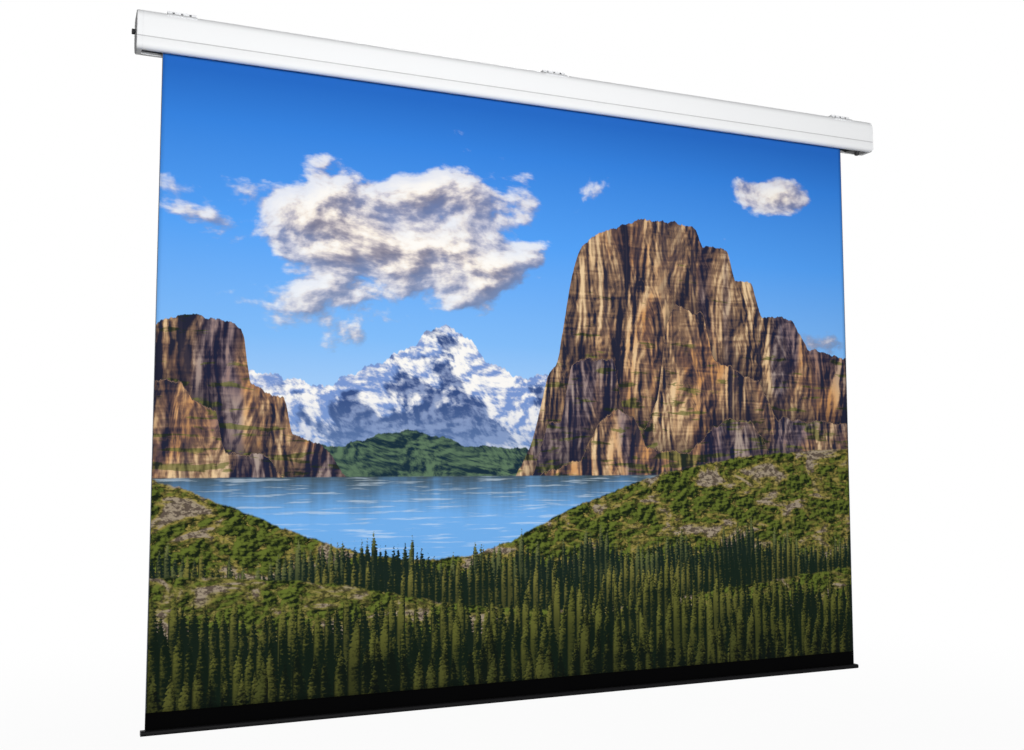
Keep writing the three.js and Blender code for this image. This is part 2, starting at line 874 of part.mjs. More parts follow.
// A sleeve inside the motor tube, bored for the shaft that turns in it.
function motorSleeve(bore, xLow, xHigh) {
  return ring(motorFit, bore, xLow, xHigh);
}

// The bottom bar is a hollow oval, open along its top where the hem goes in.
function barOutline(inset) {
  const radius = barCorner - inset;
  const y = barDepth / 2 - barCorner;
  const low = barTop - barHeight + barCorner;
  const high = barTop - barCorner;
  return [
    ...arc(fabricPlane - y, low, radius, halfTurn, 3 * quarter, arcSteps / 2),
    ...arc(fabricPlane + y, low, radius, -quarter, 0, arcSteps / 2),
    ...arc(fabricPlane + y, high, radius, 0, quarter, arcSteps / 2),
    ...arc(fabricPlane - y, high, radius, quarter, halfTurn, arcSteps / 2),
  ];
}

function bottomBar() {
  const slot = block(
    barLeft - overrun,
    barRight + overrun,
    fabricPlane - barSlotWidth / 2,
    fabricPlane + barSlotWidth / 2,
    barTop - barCorner,
    barTop + overrun,
  );
  return prism(barOutline(0), barLeft, barRight, [barOutline(barWall)]).subtract(slot);
}

// A bar cap covers the bar's end and plugs its hollow. Its side is -1 at the left end.
function barCap(side) {
  const end = side > 0 ? barRight : barLeft;
  const span = (from, to) => [Math.min(end + side * from, end + side * to), Math.abs(to - from)];
  const [plateLow, plateLength] = span(gap, gap + barCapThickness);
  const [plugLow, plugLength] = span(-barCapPlug, gap);
  return prism(barOutline(0), plateLow, plateLow + plateLength).add(
    prism(barOutline(barWall + gap), plugLow, plugLow + plugLength),
  );
}

// The hem enters the bar between the plugs of its caps.
function lowerBorder() {
  const front = fabricPlane - fabricThickness / 2;
  const low = barTop - hemDepth;
  const high = barTop + borderHeight;
  return block(fabricLeft, fabricRight, front, front + fabricThickness, low, high);
}

function screenFabric() {
  const front = fabricPlane - fabricThickness / 2;
  const low = barTop + borderHeight + gap;
  return block(fabricLeft, fabricRight, front, front + fabricThickness, low, axisZ - gap);
}

// A bracket's saddle lies on the casing, hooks over its shoulder and reaches down behind it.
const saddleLow = casingTop + gap;
const saddleHigh = saddleLow + bracketSheet;
const armFront = casingRear + armGap;
const armBottom = casingTop - armDrop - rearTopRadius / 2;

function bracketSaddle() {
  const y = casingFront + shoulderRadius;
  const z = casingTop - shoulderRadius;
  const inner = shoulderRadius + gap;
  const outer = inner + bracketSheet;
  const outline = [
    ...arc(y, z, outer, quarter + hookAngle, quarter),
    at(armFront + bracketSheet, saddleHigh),
    at(armFront + bracketSheet, armBottom),
    at(armFront, armBottom),
    at(armFront, saddleLow),
    ...arc(y, z, inner, quarter, quarter + hookAngle),
  ];
  return prism(outline, -bracketWidth / 2, bracketWidth / 2);
}

const clampScrewZ = railBottom - clampScrewDrop + railHeight;

// A round solid along Y, from a list of radius and Y pairs.
function turnedAlongY(profile, steps) {
  return turned(profile, steps).rotate(-90, 0, 0);
}

function bracket() {
  const half = bracketWidth / 2;
  const inside = half - bracketSheet;
  const front = -channelHalfDepth;
  const webHigh = front + bracketSheet;
  const foot = (saddleLow + saddleHigh) / 2;
  let solid = bracketSaddle()
    .add(block(-half, half, front, channelHalfDepth, -bracketSheet, 0))
    .add(block(-half, half, front, webHigh, foot, 0))
    .add(block(-half, -inside, front, channelHalfDepth, foot, 0))
    .add(block(inside, half, front, channelHalfDepth, foot, 0));
  for (const place of [-1, 0, 1]) {
    const x = place * bracketSlotPitch;
    const low = x - bracketSlotWidth / 2;
    const slot = block(
      low,
      low + bracketSlotWidth,
      front - overrun,
      webHigh + gap,
      saddleHigh + gap,
      -bracketSheet,
    );
    solid = solid.subtract(slot);
  }
  for (const side of [-1, 1]) {
    const hole = turned([
      at(0, -bracketSheet - gap),
      at(mountHoleRadius, -bracketSheet - gap),
      at(mountHoleRadius, overrun),
      at(0, overrun),
    ]).translate((side * mountHolePitch) / 2, mountHoleOffset, 0);
    solid = solid.subtract(hole);
  }
  const screwHole = turnedAlongY(
    [
      at(0, armFront - overrun),
      at(clampScrewRadius + gap, armFront - overrun),
      at(clampScrewRadius + gap, armFront + overrun),
      at(0, armFront + overrun),
    ],
    smallSteps,
  ).translate(0, 0, clampScrewZ);
  return solid.subtract(screwHole);
}

// The jaw's toe lies in the casing's rail, and its screw hole is below the toe.
function clampJaw() {
  const half = jawWidth / 2;
  const back = casingRear + gap + jawThickness;
  const bodyTop = railTop + railHeight / 2;
  const toeFront = casingRear - railDepth + jawReach;
  const screwHole = turnedAlongY(
    [
      at(0, casingRear - overrun),
      at(clampScrewRadius + gap, casingRear - overrun),
      at(clampScrewRadius + gap, back + overrun),
      at(0, back + overrun),
    ],
    smallSteps,
  ).translate(0, 0, clampScrewZ);
  return block(-half, half, casingRear + gap, back, bodyTop - jawHeight, bodyTop)
    .add(block(-half, half, toeFront, back, railBottom + gap, railTop - gap))
    .subtract(screwHole);
}

function clampScrew() {
  const tip = casingRear + 2 * gap;
  const headFront = armFront + bracketSheet + gap;
  const headBack = headFront + clampHeadLength;
  const halfSlot = driverSlotWidth / 2;
  return turnedAlongY(
    [
      at(0, tip),
      at(clampScrewRadius, tip),
      at(clampScrewRadius, headFront),
      at(clampHeadRadius, headFront),
      at(clampHeadRadius, headBack),
      at(0, headBack),
    ],
    smallSteps,
  ).subtract(
    block(
      -clampHeadRadius - overrun,
      clampHeadRadius + overrun,
      headBack - driverSlotDepth,
      headBack + overrun,
      -halfSlot,
      halfSlot,
    ),
  );
}

// The scene graph
const screen = new THREE.Group();

const casing = new THREE.Group();
casing.add(
  meshOf("casing_profile", casingProfile(), whitePaint),
  meshOf("front_lower_cover", frontLowerCover(), whitePaint),
  meshOf("left_end_cap", leftEndCap(), whitePaint),
  meshOf("right_end_cap", endCap(1), whitePaint),
  meshOf("left_support_plate", leftSupportPlate(), zincSteel),
  meshOf("right_support_plate", rightSupportPlate(), zincSteel),
  meshOf("slot_plate", slotPlate(), blackPlastic),
  meshOf("terminal_box", terminalBox(), greyPlastic),
  meshOf("motor_lead", motorLead(), blackRubber),
);
const gland = meshOf("power_gland", powerGland(), blackPlastic);
gland.position.set(glandX, fabricPlane, 0);
casing.add(gland);
for (const [side, end] of [
  [-1, "left"],
  [1, "right"],
])
  portCentres.forEach(({ x, y }, i) => {
    const screw = meshOf(`${end}_plate_screw_${i + 1}`, plateScrew(side), zincSteel);
    screw.position.set(0, x, y);
    casing.add(screw);
  });
screen.add(casing);

const roller = new THREE.Group();
roller.position.set(0, axisY, axisZ);
roller.add(
  meshOf("roller_tube", rollerTube(), bareAluminium),
  meshOf("fabric_wraps", fabricWraps(), blackCloth),
  meshOf("fabric_batten", fabricBatten(), greyPlastic),
  meshOf("idler_plug", idlerPlug(), greyPlastic),
  meshOf("idler_axle", idlerAxle(), darkSteel),
  meshOf("axle_knob", axleKnob(), blackPlastic),
  meshOf("crown_wheel", crownWheel(), greyPlastic),
  meshOf("drive_wheel", driveWheel(), greyPlastic),
);
screen.add(roller);

const motor = new THREE.Group();
motor.position.copy(roller.position);
motor.add(
  meshOf("motor_head", motorHead(), blackPlastic),
  meshOf("motor_tube", ring(motorRadius, motorBore, motorLeft, motorRight), zincSteel),
  meshOf("limit_switch_block", disc(motorFit, limitBlockLow, limitBlockHigh), greyPlastic),
  meshOf("run_capacitor", disc(motorFit, capacitorLow, capacitorHigh), whitePlastic),
  meshOf(
    "brake_coil",
    motorSleeve(motorShaftRadius + bearingGap, brakeCoilLow, brakeCoilHigh),
    copper,
  ),
  meshOf(
    "brake_disc",
    ring(brakeDiscRadius, motorShaftRadius + gap, brakeDiscLow, brakeDiscHigh),
    darkSteel,
  ),
  meshOf("stator", motorSleeve(rotorRadius + bearingGap, statorLow, statorHigh), copper),
  meshOf("rotor_core", ring(rotorRadius, motorShaftRadius + gap, rotorLow, rotorHigh), darkSteel),
  meshOf("rotor_shaft", rotorShaft(), darkSteel),
  meshOf(
    "gearbox_shield",
    motorSleeve(motorShaftRadius + bearingGap, shieldLow, shieldHigh),
    zincSteel,
  ),
  meshOf("ring_gear", ringGear(), darkSteel),
  meshOf("first_carrier", firstCarrier(), darkSteel),
  meshOf("output_carrier", outputCarrier(), darkSteel),
  meshOf(
    "output_bearing",
    motorSleeve(outputShaftRadius + bearingGap, bearingLow, bearingHigh),
    bronze,
  ),
);
planetAngles.forEach((angle, i) => {
  for (const [stage, xLow] of [
    ["input", inputGearLow],
    ["output", outputGearLow],
  ]) {
    const gear = meshOf(`${stage}_planet_${i + 1}`, planet(angle, xLow), darkSteel);
    gear.position.set(0, planetOrbit * Math.cos(angle), planetOrbit * Math.sin(angle));
    motor.add(gear);
  }
});
[
  ["limit_screw_up", whitePlastic],
  ["limit_screw_down", yellowPlastic],
].forEach(([name, material], i) => {
  const screw = meshOf(name, limitScrew(), material);
  screw.position.x = limitScrewX[i];
  screw.rotation.x = limitScrewTurn;
  motor.add(screw);
});
screen.add(motor);

const sheet = new THREE.Group();
sheet.add(
  meshOf("screen_fabric", screenFabric(), screenCloth),
  meshOf("lower_border", lowerBorder(), blackCloth),
  meshOf("bottom_bar", bottomBar(), blackAluminium),
  meshOf("left_bar_cap", barCap(-1), blackPlastic),
  meshOf("right_bar_cap", barCap(1), blackPlastic),
);
screen.add(sheet);

for (const [place, name] of [
  [-1, "left"],
  [0, "middle"],
  [1, "right"],
]) {
  const hanger = new THREE.Group();
  hanger.position.x = place * bracketSpacing;
  const screw = meshOf(`${name}_clamp_screw`, clampScrew(), zincSteel);
  screw.position.z = clampScrewZ;
  hanger.add(
    meshOf(`${name}_bracket`, bracket(), bracketPaint),
    meshOf(`${name}_clamp_jaw`, clampJaw(), zincSteel),
    screw,
  );
  screen.add(hanger);
}

export default screen;
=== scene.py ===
# %% [markdown]
# # A motorised projection screen
# The screen hangs under a ceiling. A white casing holds a roller with a motor inside it, the
# picture cloth comes down through a slot, and a weighted bar keeps the cloth flat. Everything is
# in metres: +X runs along the casing, +Y goes back to the wall, +Z is up, and the origin is on the
# ceiling above the middle bracket. The CAD model is loaded first as a fixed frame, so each new
# piece is drawn where the frame says and needs no fitting.

import json
import math

import bmesh
import bpy
from mathutils import Matrix, Vector


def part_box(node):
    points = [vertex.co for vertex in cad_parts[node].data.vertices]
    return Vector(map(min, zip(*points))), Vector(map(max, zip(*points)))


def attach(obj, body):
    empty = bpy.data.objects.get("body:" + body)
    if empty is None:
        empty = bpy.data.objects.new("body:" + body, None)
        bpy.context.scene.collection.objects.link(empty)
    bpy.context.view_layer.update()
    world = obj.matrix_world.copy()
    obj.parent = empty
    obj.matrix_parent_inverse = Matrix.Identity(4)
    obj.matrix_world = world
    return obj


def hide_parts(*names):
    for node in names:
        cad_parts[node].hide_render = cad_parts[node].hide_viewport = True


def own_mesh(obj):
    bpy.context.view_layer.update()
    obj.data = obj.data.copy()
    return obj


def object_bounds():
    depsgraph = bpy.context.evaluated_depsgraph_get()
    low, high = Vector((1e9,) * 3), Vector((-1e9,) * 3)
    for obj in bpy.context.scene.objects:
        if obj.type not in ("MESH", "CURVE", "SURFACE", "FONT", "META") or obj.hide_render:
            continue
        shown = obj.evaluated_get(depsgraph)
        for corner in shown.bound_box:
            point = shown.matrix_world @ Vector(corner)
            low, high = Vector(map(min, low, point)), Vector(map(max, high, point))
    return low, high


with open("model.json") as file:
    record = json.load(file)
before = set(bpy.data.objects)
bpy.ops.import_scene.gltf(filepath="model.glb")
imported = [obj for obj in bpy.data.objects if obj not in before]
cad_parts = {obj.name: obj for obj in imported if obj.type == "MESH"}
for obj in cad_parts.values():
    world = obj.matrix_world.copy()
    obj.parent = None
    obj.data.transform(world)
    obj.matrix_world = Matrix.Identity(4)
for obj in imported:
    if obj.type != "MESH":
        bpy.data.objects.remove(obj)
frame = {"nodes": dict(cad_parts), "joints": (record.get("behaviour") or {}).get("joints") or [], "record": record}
cad_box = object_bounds()
nodes = frame["nodes"]
scene = bpy.context.scene
slot_of = {part["node"]: part["material_slot"] for part in frame["record"]["subparts"]}
MM = 0.001
print("CAD box", [[round(value, 4) for value in corner] for corner in cad_box], len(nodes), "nodes")

# %% [markdown]
# ## The camera
# The photograph was taken from low on the left, looking a little up at the casing. Its vanishing
# lines give the lens and the direction, and the known width of the cloth gives the distance. A
# camera looks down its own -Z axis, so it is first stood upright, then tipped and turned.

# %% Camera
view = bpy.data.cameras.new("photograph")
view.sensor_width = 36
view.lens = 37.466
view.clip_end = 200
camera = bpy.data.objects.new("photograph", view)
scene.collection.objects.link(camera)
camera.location = (-1.8226, -3.8904, -1.5947)
yaw, pitch, roll = (math.radians(angle) for angle in (22.98, 4.63, -0.05))
camera.rotation_mode = "QUATERNION"
camera.rotation_quaternion = (
    Matrix.Rotation(-yaw, 4, "Z")
    @ Matrix.Rotation(math.pi / 2 + pitch, 4, "X")
    @ Matrix.Rotation(roll, 4, "Z")
).to_quaternion()
scene.camera = camera
print("camera at", tuple(camera.location), "lens", round(view.lens, 2))

# %% [markdown]
# ## Nodes written as sums
# A node tree is easier to read as a sum than as a list of links. This class holds one output of a
# node. A plus or a minus between two of them adds the node that does it, and every other node
# comes from one method. It serves the shader trees and the geometry trees alike.


# %% The class for node trees
class Signal:
    """One output of a node. Sums of signals add nodes to its tree."""

    def __init__(self, tree, socket=None):
        self.tree = tree
        self.socket = socket

    def node(self, kind, settings=None, sockets=None, out=0):
        """Adds a node: first its settings, then the values or links of its sockets."""
        made = self.tree.nodes.new(kind)
        for name, value in (settings or {}).items():
            if name == "stops":
                write_stops(made.color_ramp, value)
            elif name == "bends":
                write_bends(made.mapping, *value)
            else:
                setattr(made, name, value)
        for name, value in (sockets or {}).items():
            for one in value if isinstance(value, list) else [value]:
                if isinstance(one, Signal):
                    self.tree.links.new(one.socket, made.inputs[name])
                else:
                    made.inputs[name].default_value = one
        return Signal(self.tree, made.outputs[out])

    def made_of(self, operation, *values):
        """Adds a sum of numbers, or of vectors if one of the values is a vector."""
        kinds = [v.socket.type if isinstance(v, Signal) else type(v).__name__ for v in values]
        if "VECTOR" not in kinds and "tuple" not in kinds:
            return self.node("ShaderNodeMath", {"operation": operation}, dict(enumerate(values)))
        if operation == "MULTIPLY" and kinds[1] not in ("VECTOR", "tuple"):
            return self.node("ShaderNodeVectorMath", {"operation": "SCALE"}, {0: values[0], "Scale": values[1]})
        return self.node("ShaderNodeVectorMath", {"operation": operation}, dict(enumerate(values)))

    def maths(self, operation, *others):
        """The same, with this signal as the first value."""
        return self.made_of(operation, self, *others)

    def __add__(self, other):
        return self.maths("ADD", other)

    __radd__ = __add__

    def __sub__(self, other):
        return self.maths("SUBTRACT", other)

    def __rsub__(self, other):
        return self.made_of("SUBTRACT", other, self)

    def __mul__(self, other):
        return self.maths("MULTIPLY", other)

    __rmul__ = __mul__

    def __truediv__(self, other):
        return self.maths("DIVIDE", other)

    def __rtruediv__(self, other):
        return self.made_of("DIVIDE", other, self)

    def __gt__(self, other):
        return self.maths("GREATER_THAN", other)

    def __lt__(self, other):
        return self.maths("LESS_THAN", other)

    def __abs__(self):
        return self.maths("ABSOLUTE")

    def xyz(self):
        """The three numbers of a vector."""
        split = self.tree.nodes.new("ShaderNodeSeparateXYZ")
        self.tree.links.new(self.socket, split.inputs[0])
        return [Signal(self.tree, out) for out in split.outputs]


def write_stops(colour_ramp, stops):
    """Gives a colour ramp its stops, each a place and a colour or a grey."""
    while len(colour_ramp.elements) > 1:
        colour_ramp.elements.remove(colour_ramp.elements[-1])
    for number, (place, colour) in enumerate(stops):
        stop = colour_ramp.elements[0] if number == 0 else colour_ramp.elements.new(place)
        stop.position = place
        stop.color = colour if isinstance(colour, tuple) else (colour, colour, colour, 1)


def write_bends(mapping, points, handles):
    """Gives a float curve its points. VECTOR handles join them by straight lines, AUTO by a curve."""
    first, *between, last = points
    line = mapping.curves[0].points
    line[0].location, line[1].location = first, last
    for place in between:
        line.new(*place)
    for point in line:
        point.handle_type = handles
    mapping.extend = "HORIZONTAL"
    mapping.update()


def rgb(red, green, blue):
    """A colour as a screen shows it, 0 to 255, turned into the linear light that shaders use."""
    linear = [c / 255 / 12.92 if c <= 10 else ((c / 255 + 0.055) / 1.055) ** 2.4 for c in (red, green, blue)]
    return (*linear, 1)


# %% [markdown]
# A few kinds of node come back in almost every finish: a noise, random cells, a smooth step
# between two values, a ramp of colours, and a mix of two colours or numbers.


# %% Common shader nodes
def smooth(value, low, high, start=0.0, end=1.0):
    """Goes smoothly from start to end while value goes from low to high."""
    return value.node(
        "ShaderNodeMapRange",
        {"interpolation_type": "SMOOTHSTEP"},
        {"Value": value, "From Min": low, "From Max": high, "To Min": start, "To Max": end},
    )


def noise(place, scale, detail=2.0, roughness=0.5, distortion=0.0):
    """Soft random values from 0 to 1 around a place."""
    sizes = {"Vector": place, "Scale": scale, "Detail": detail, "Roughness": roughness, "Distortion": distortion}
    return place.node("ShaderNodeTexNoise", None, sizes)


def cells(place, scale, out="Distance"):
    """Random cells, as the distance to a cell's middle or as a colour for each cell."""
    return place.node("ShaderNodeTexVoronoi", None, {"Vector": place, "Scale": scale}, out)


def ramp(value, stops):
    """A colour for each value."""
    return value.node("ShaderNodeValToRGB", {"stops": stops}, {"Fac": value})


def mix(share, first, second):
    """The first colour where share is 0 and the second where it is 1."""
    sockets = {0: share, 6: first, 7: second}
    maker = next(s for s in (share, first, second) if isinstance(s, Signal))
    return maker.node("ShaderNodeMix", {"data_type": "RGBA"}, sockets, 2)


def mix_number(share, first, second):
    """The first number where share is 0 and the second where it is 1."""
    return first + (second - first) * share


def joined(base, x=0.0, y=0.0, z=0.0):
    """A vector from three numbers."""
    return base.node("ShaderNodeCombineXYZ", None, {"X": x, "Y": y, "Z": z})


def bump(height, distance, strength):
    """A surface normal that leans as a relief of this height would make it."""
    return height.node("ShaderNodeBump", None, {"Strength": strength, "Distance": distance, "Height": height})


def finish_of(name, paint):
    """A material. paint gets its empty tree and returns what the shader's sockets are given."""
    made = bpy.data.materials.new(name)
    made.use_nodes = True
    shader = made.node_tree.nodes["Principled BSDF"]
    for socket, value in paint(Signal(made.node_tree)).items():
        if isinstance(value, Signal):
            made.node_tree.links.new(value.socket, shader.inputs[socket])
        else:
            shader.inputs[socket].default_value = value
    return made


def at_point(base):
    """The place in the object's own frame, in metres."""
    return base.node("ShaderNodeTexCoord", None, None, "Object")


def seen_in_view(base):
    """1 where the camera looks, directly or through gloss or glass, and 0 where light travels."""
    straight, glossy, through = (
        base.node("ShaderNodeLightPath", None, None, f"Is {kind} Ray") for kind in ("Camera", "Glossy", "Transmission")
    )
    return straight.maths("MAXIMUM", glossy).maths("MAXIMUM", through)


print("shader helpers ready")

# %% [markdown]
# ## Light and floor
# The photograph is lit softly from where the camera stands: the front of the casing is bright, and
# the light falls away on whatever turns up, down or to the left. One large softbox behind the
# camera gives that. It is near enough to leave the far end a little darker. Two more stand behind
# the screen, where they can't reach the front: a low one for the back and the underside, and a high
# one on the right for the top, the back and the right end. The sky is white to the camera but very
# dim as a light.


# %% Softboxes
def softbox(name, place, target, size, level):
    """A square lamp. Its level is the share of full white that it gives a surface facing it."""
    lamp = bpy.data.lights.new(name, "AREA")
    lamp.shape = "SQUARE"
    lamp.size = size
    distance = (Vector(target) - Vector(place)).length
    lamp.energy = level * math.pi * math.pi * distance**2
    box = bpy.data.objects.new(name, lamp)
    scene.collection.objects.link(box)
    box.location = place
    box.rotation_mode = "QUATERNION"
    box.rotation_quaternion = (Vector(target) - Vector(place)).to_track_quat("-Z", "Y")
    print(name, "energy", round(lamp.energy))


middle = (cad_box[0] + cad_box[1]) / 2
softbox("front_softbox", (-0.9, -7.1, -1.1), middle, 3.0, 1.02)
softbox("low_softbox", (1.5, 9.0, middle.z - 0.6), middle, 3.0, 0.4)
softbox("high_softbox", (3.0, 8.5, 5.5), middle, 3.0, 0.5)

sky = bpy.data.worlds.new("studio")
scene.world = sky
sky.use_nodes = True
dim_sky, white_sky = 0.04, 1.0
strength = mix_number(seen_in_view(Signal(sky.node_tree)), dim_sky, white_sky)
background = sky.node_tree.nodes["Background"]
background.inputs["Color"].default_value = (1, 1, 1, 1)
sky.node_tree.links.new(strength.socket, background.inputs["Strength"])
scene.view_settings.view_transform = "Standard"

# %% [markdown]
# The floor lies half a metre below the bar, as in a room three metres high. It is pale to the
# camera but throws little light back up, so undersides stay dark. It keeps a faint shadow of the
# screen near its middle, and further out it turns into plain white, so that no horizon shows.

# %% Floor
floor_height, reach = -3.0, 60.0
corners = [(-reach, -reach), (reach, -reach), (reach, reach), (-reach, reach)]
floor_mesh = bpy.data.meshes.new("floor")
floor_mesh.from_pydata([(x, y, floor_height) for x, y in corners], [], [(0, 1, 2, 3)])
floor = bpy.data.objects.new("floor", floor_mesh)
scene.collection.objects.link(floor)
floor_finish = bpy.data.materials.new("pale_floor")
floor_finish.use_nodes = True
floor_tree = floor_finish.node_tree
floor_tree.nodes.remove(floor_tree.nodes["Principled BSDF"])
start = Signal(floor_tree)
place = at_point(start)
from_middle = place.node("ShaderNodeVectorMath", {"operation": "LENGTH"}, {0: place}, "Value")
far_out = smooth(from_middle, 3.2, 6.5, 0.93, 1.0)
seen = seen_in_view(start)
dim_floor, pale_floor = (0.1, 0.1, 0.1, 1), (0.9, 0.9, 0.9, 1)
matt = start.node("ShaderNodeBsdfDiffuse", None, {"Color": mix(seen, dim_floor, pale_floor)})
glow = start.node("ShaderNodeEmission", None, {"Color": (1, 1, 1, 1), "Strength": 1.0})
both = start.node("ShaderNodeMixShader", None, {0: seen * far_out, 1: matt, 2: glow})
floor_tree.links.new(both.socket, floor_tree.nodes["Material Output"].inputs["Surface"])
floor_mesh.materials.append(floor_finish)
print("floor at", floor_height)

# %% [markdown]
# ## The picture on the cloth
# A projector throws a landscape on the white cloth. It is drawn here as a painter would, from the
# far to the near: sky, a bank of clouds, a snowy range, wooded hills, two sandstone massifs, a
# lake, and scrub and fir trees in front. Each layer is a colour and a mask that is 1 below its
# skyline. The drawing uses the cloth's own map, where one unit is the picture's height, so it stays
# on the cloth when that moves.
#
# Rock, cloud and wood all look solid for the same reason: their light sides face one way. So each
# is a relief, made of noise, and it is read twice, once a little nearer to the sun. Where the
# second reading is lower, the slope faces the sun and is bright.


# %% Reliefs and skylines
def grain(across, up, wide, high, seed, detail=5.0, rough=0.6, warp=0.0):
    """Noise from 0 to 1 with features of a given width and height, in picture heights."""
    place = joined(across, across / wide + seed, up / high + seed * 1.7)
    sizes = {"Vector": place, "Scale": 1.0, "Detail": detail, "Roughness": rough, "Distortion": warp}
    return place.node("ShaderNodeTexNoise", {"noise_dimensions": "2D"}, sizes)


def puffs(across, up, size, seed):
    """Round heaps on heaps, 1 in the middle of each."""
    place = joined(across, across / size + seed, up / size)
    sizes = {"Vector": place, "Scale": 1.0, "Detail": 3.0, "Roughness": 0.55, "Lacunarity": 2.1}
    distance = place.node("ShaderNodeTexVoronoi", {"voronoi_dimensions": "2D", "normalize": True}, sizes)
    return 1.0 - distance


def sunlit(relief, across, up, reach):
    """How much of a relief's slope faces the sun, which stands on the upper left: 0 is level."""
    return relief(across, up) - relief(across - reach, up + reach * 0.7)


def skyline(across, seed, shape, rough, finer, handles="VECTOR"):
    """A height for each place across: a curve through the points of a shape, roughened by noise.

    The shape goes from 0 at the picture's left edge to 1 at its right, which is 4/3 heights away.
    """
    share = across * 0.75
    height = share.node("ShaderNodeFloatCurve", {"bends": (shape, handles)}, {"Value": share})
    return height + (grain(across, across * 0.0, finer, 1.0, seed, 5.0, 0.62) - 0.5) * rough


def below(up, height, soft=0.0014):
    """1 under a skyline and 0 over it."""
    return smooth(height - up, -soft, soft)


def near_to(value, centre, reach):
    """1 at a centre, falling smoothly to 0 at a reach on either side."""
    return smooth(abs(value - centre), reach, 0.0)


# %% Sky and far hills
def sky_and_clouds(across, up):
    """A blue sky that pales towards the horizon, with a heaped bank of clouds."""
    colour = ramp(
        up,
        [
            (0.44, rgb(176, 210, 244)),
            (0.58, rgb(128, 186, 246)),
            (0.76, rgb(84, 160, 244)),
            (0.92, rgb(54, 130, 222)),
            (1.0, rgb(38, 106, 196)),
        ],
    )

    def heap(x, z):
        return grain(x, z, 0.20, 0.11, 3.0, 6.0, 0.56, 0.15) * 0.9 + puffs(x, z, 0.085, 5.0) * 0.22

    bank = near_to(across, 0.38, 0.60) * near_to(up - across * 0.14, 0.70, 0.21)
    stray = near_to(across, 1.16, 0.22) * near_to(up, 0.90, 0.07) * 0.85
    low = near_to(across, 0.95, 0.7) * near_to(up, 0.62, 0.07) * 0.62
    cover = bank.maths("MAXIMUM", stray).maths("MAXIMUM", low)
    body = heap(across, up) + cover * 0.55
    mask = smooth(body, 0.82, 0.93)
    thick = smooth(body, 0.90, 1.2)
    facing = sunlit(heap, across, up, 0.014)
    light = smooth(facing + (up - across * 0.14 - 0.70) * 0.40, -0.13, 0.10)
    cloud = ramp(
        light,
        [
            (0.0, rgb(118, 116, 136)),
            (0.3, rgb(158, 152, 164)),
            (0.6, rgb(214, 204, 202)),
            (0.82, rgb(246, 236, 224)),
            (1.0, rgb(255, 251, 244)),
        ],
    )
    return mix(mask * (thick * 0.25 + 0.73), colour, cloud)


def snowy_range(across, up):
    """Blue mountains far away, with snow on the sides that face the sun."""
    peaks = [
        (0.0, 0.50), (0.10, 0.52), (0.20, 0.49), (0.27, 0.55), (0.335, 0.615),
        (0.36, 0.60), (0.42, 0.545), (0.50, 0.53), (0.6, 0.56), (1.0, 0.52),
    ]
    height = skyline(across, 3.1, peaks, 0.10, 0.11)

    def ridges(x, z):
        return grain(x + z * 0.55, z, 0.10, 0.075, 8.0, 6.0, 0.54, 0.15)

    facing = smooth(sunlit(ridges, across, up, 0.007), -0.05, 0.05)
    rock = mix(facing, rgb(52, 76, 128), rgb(134, 150, 188))
    snow = smooth(ridges(across, up) + (up - height) * 1.2, 0.34, 0.44)
    snowed = mix(snow * 0.92, rock, mix(facing, rgb(122, 152, 210), rgb(255, 252, 246)))
    return mix(smooth(up, 0.50, 0.37, 0.0, 0.55), snowed, rgb(120, 152, 200)), below(up, height)


def wooded_hills(across, up):
    """Blue-green hills behind the lake."""
    height = skyline(across, 7.7, [(0.0, 0.46), (0.2, 0.40), (0.3, 0.425), (0.5, 0.385), (1.0, 0.42)], 0.05, 0.09)

    def folds(x, z):
        return grain(x + z * 0.8, z, 0.10, 0.06, 2.0, 6.0, 0.62, 0.3)

    facing = smooth(sunlit(folds, across, up, 0.006), -0.07, 0.08)
    return mix(facing, rgb(22, 44, 58), rgb(92, 118, 92)), below(up, height)


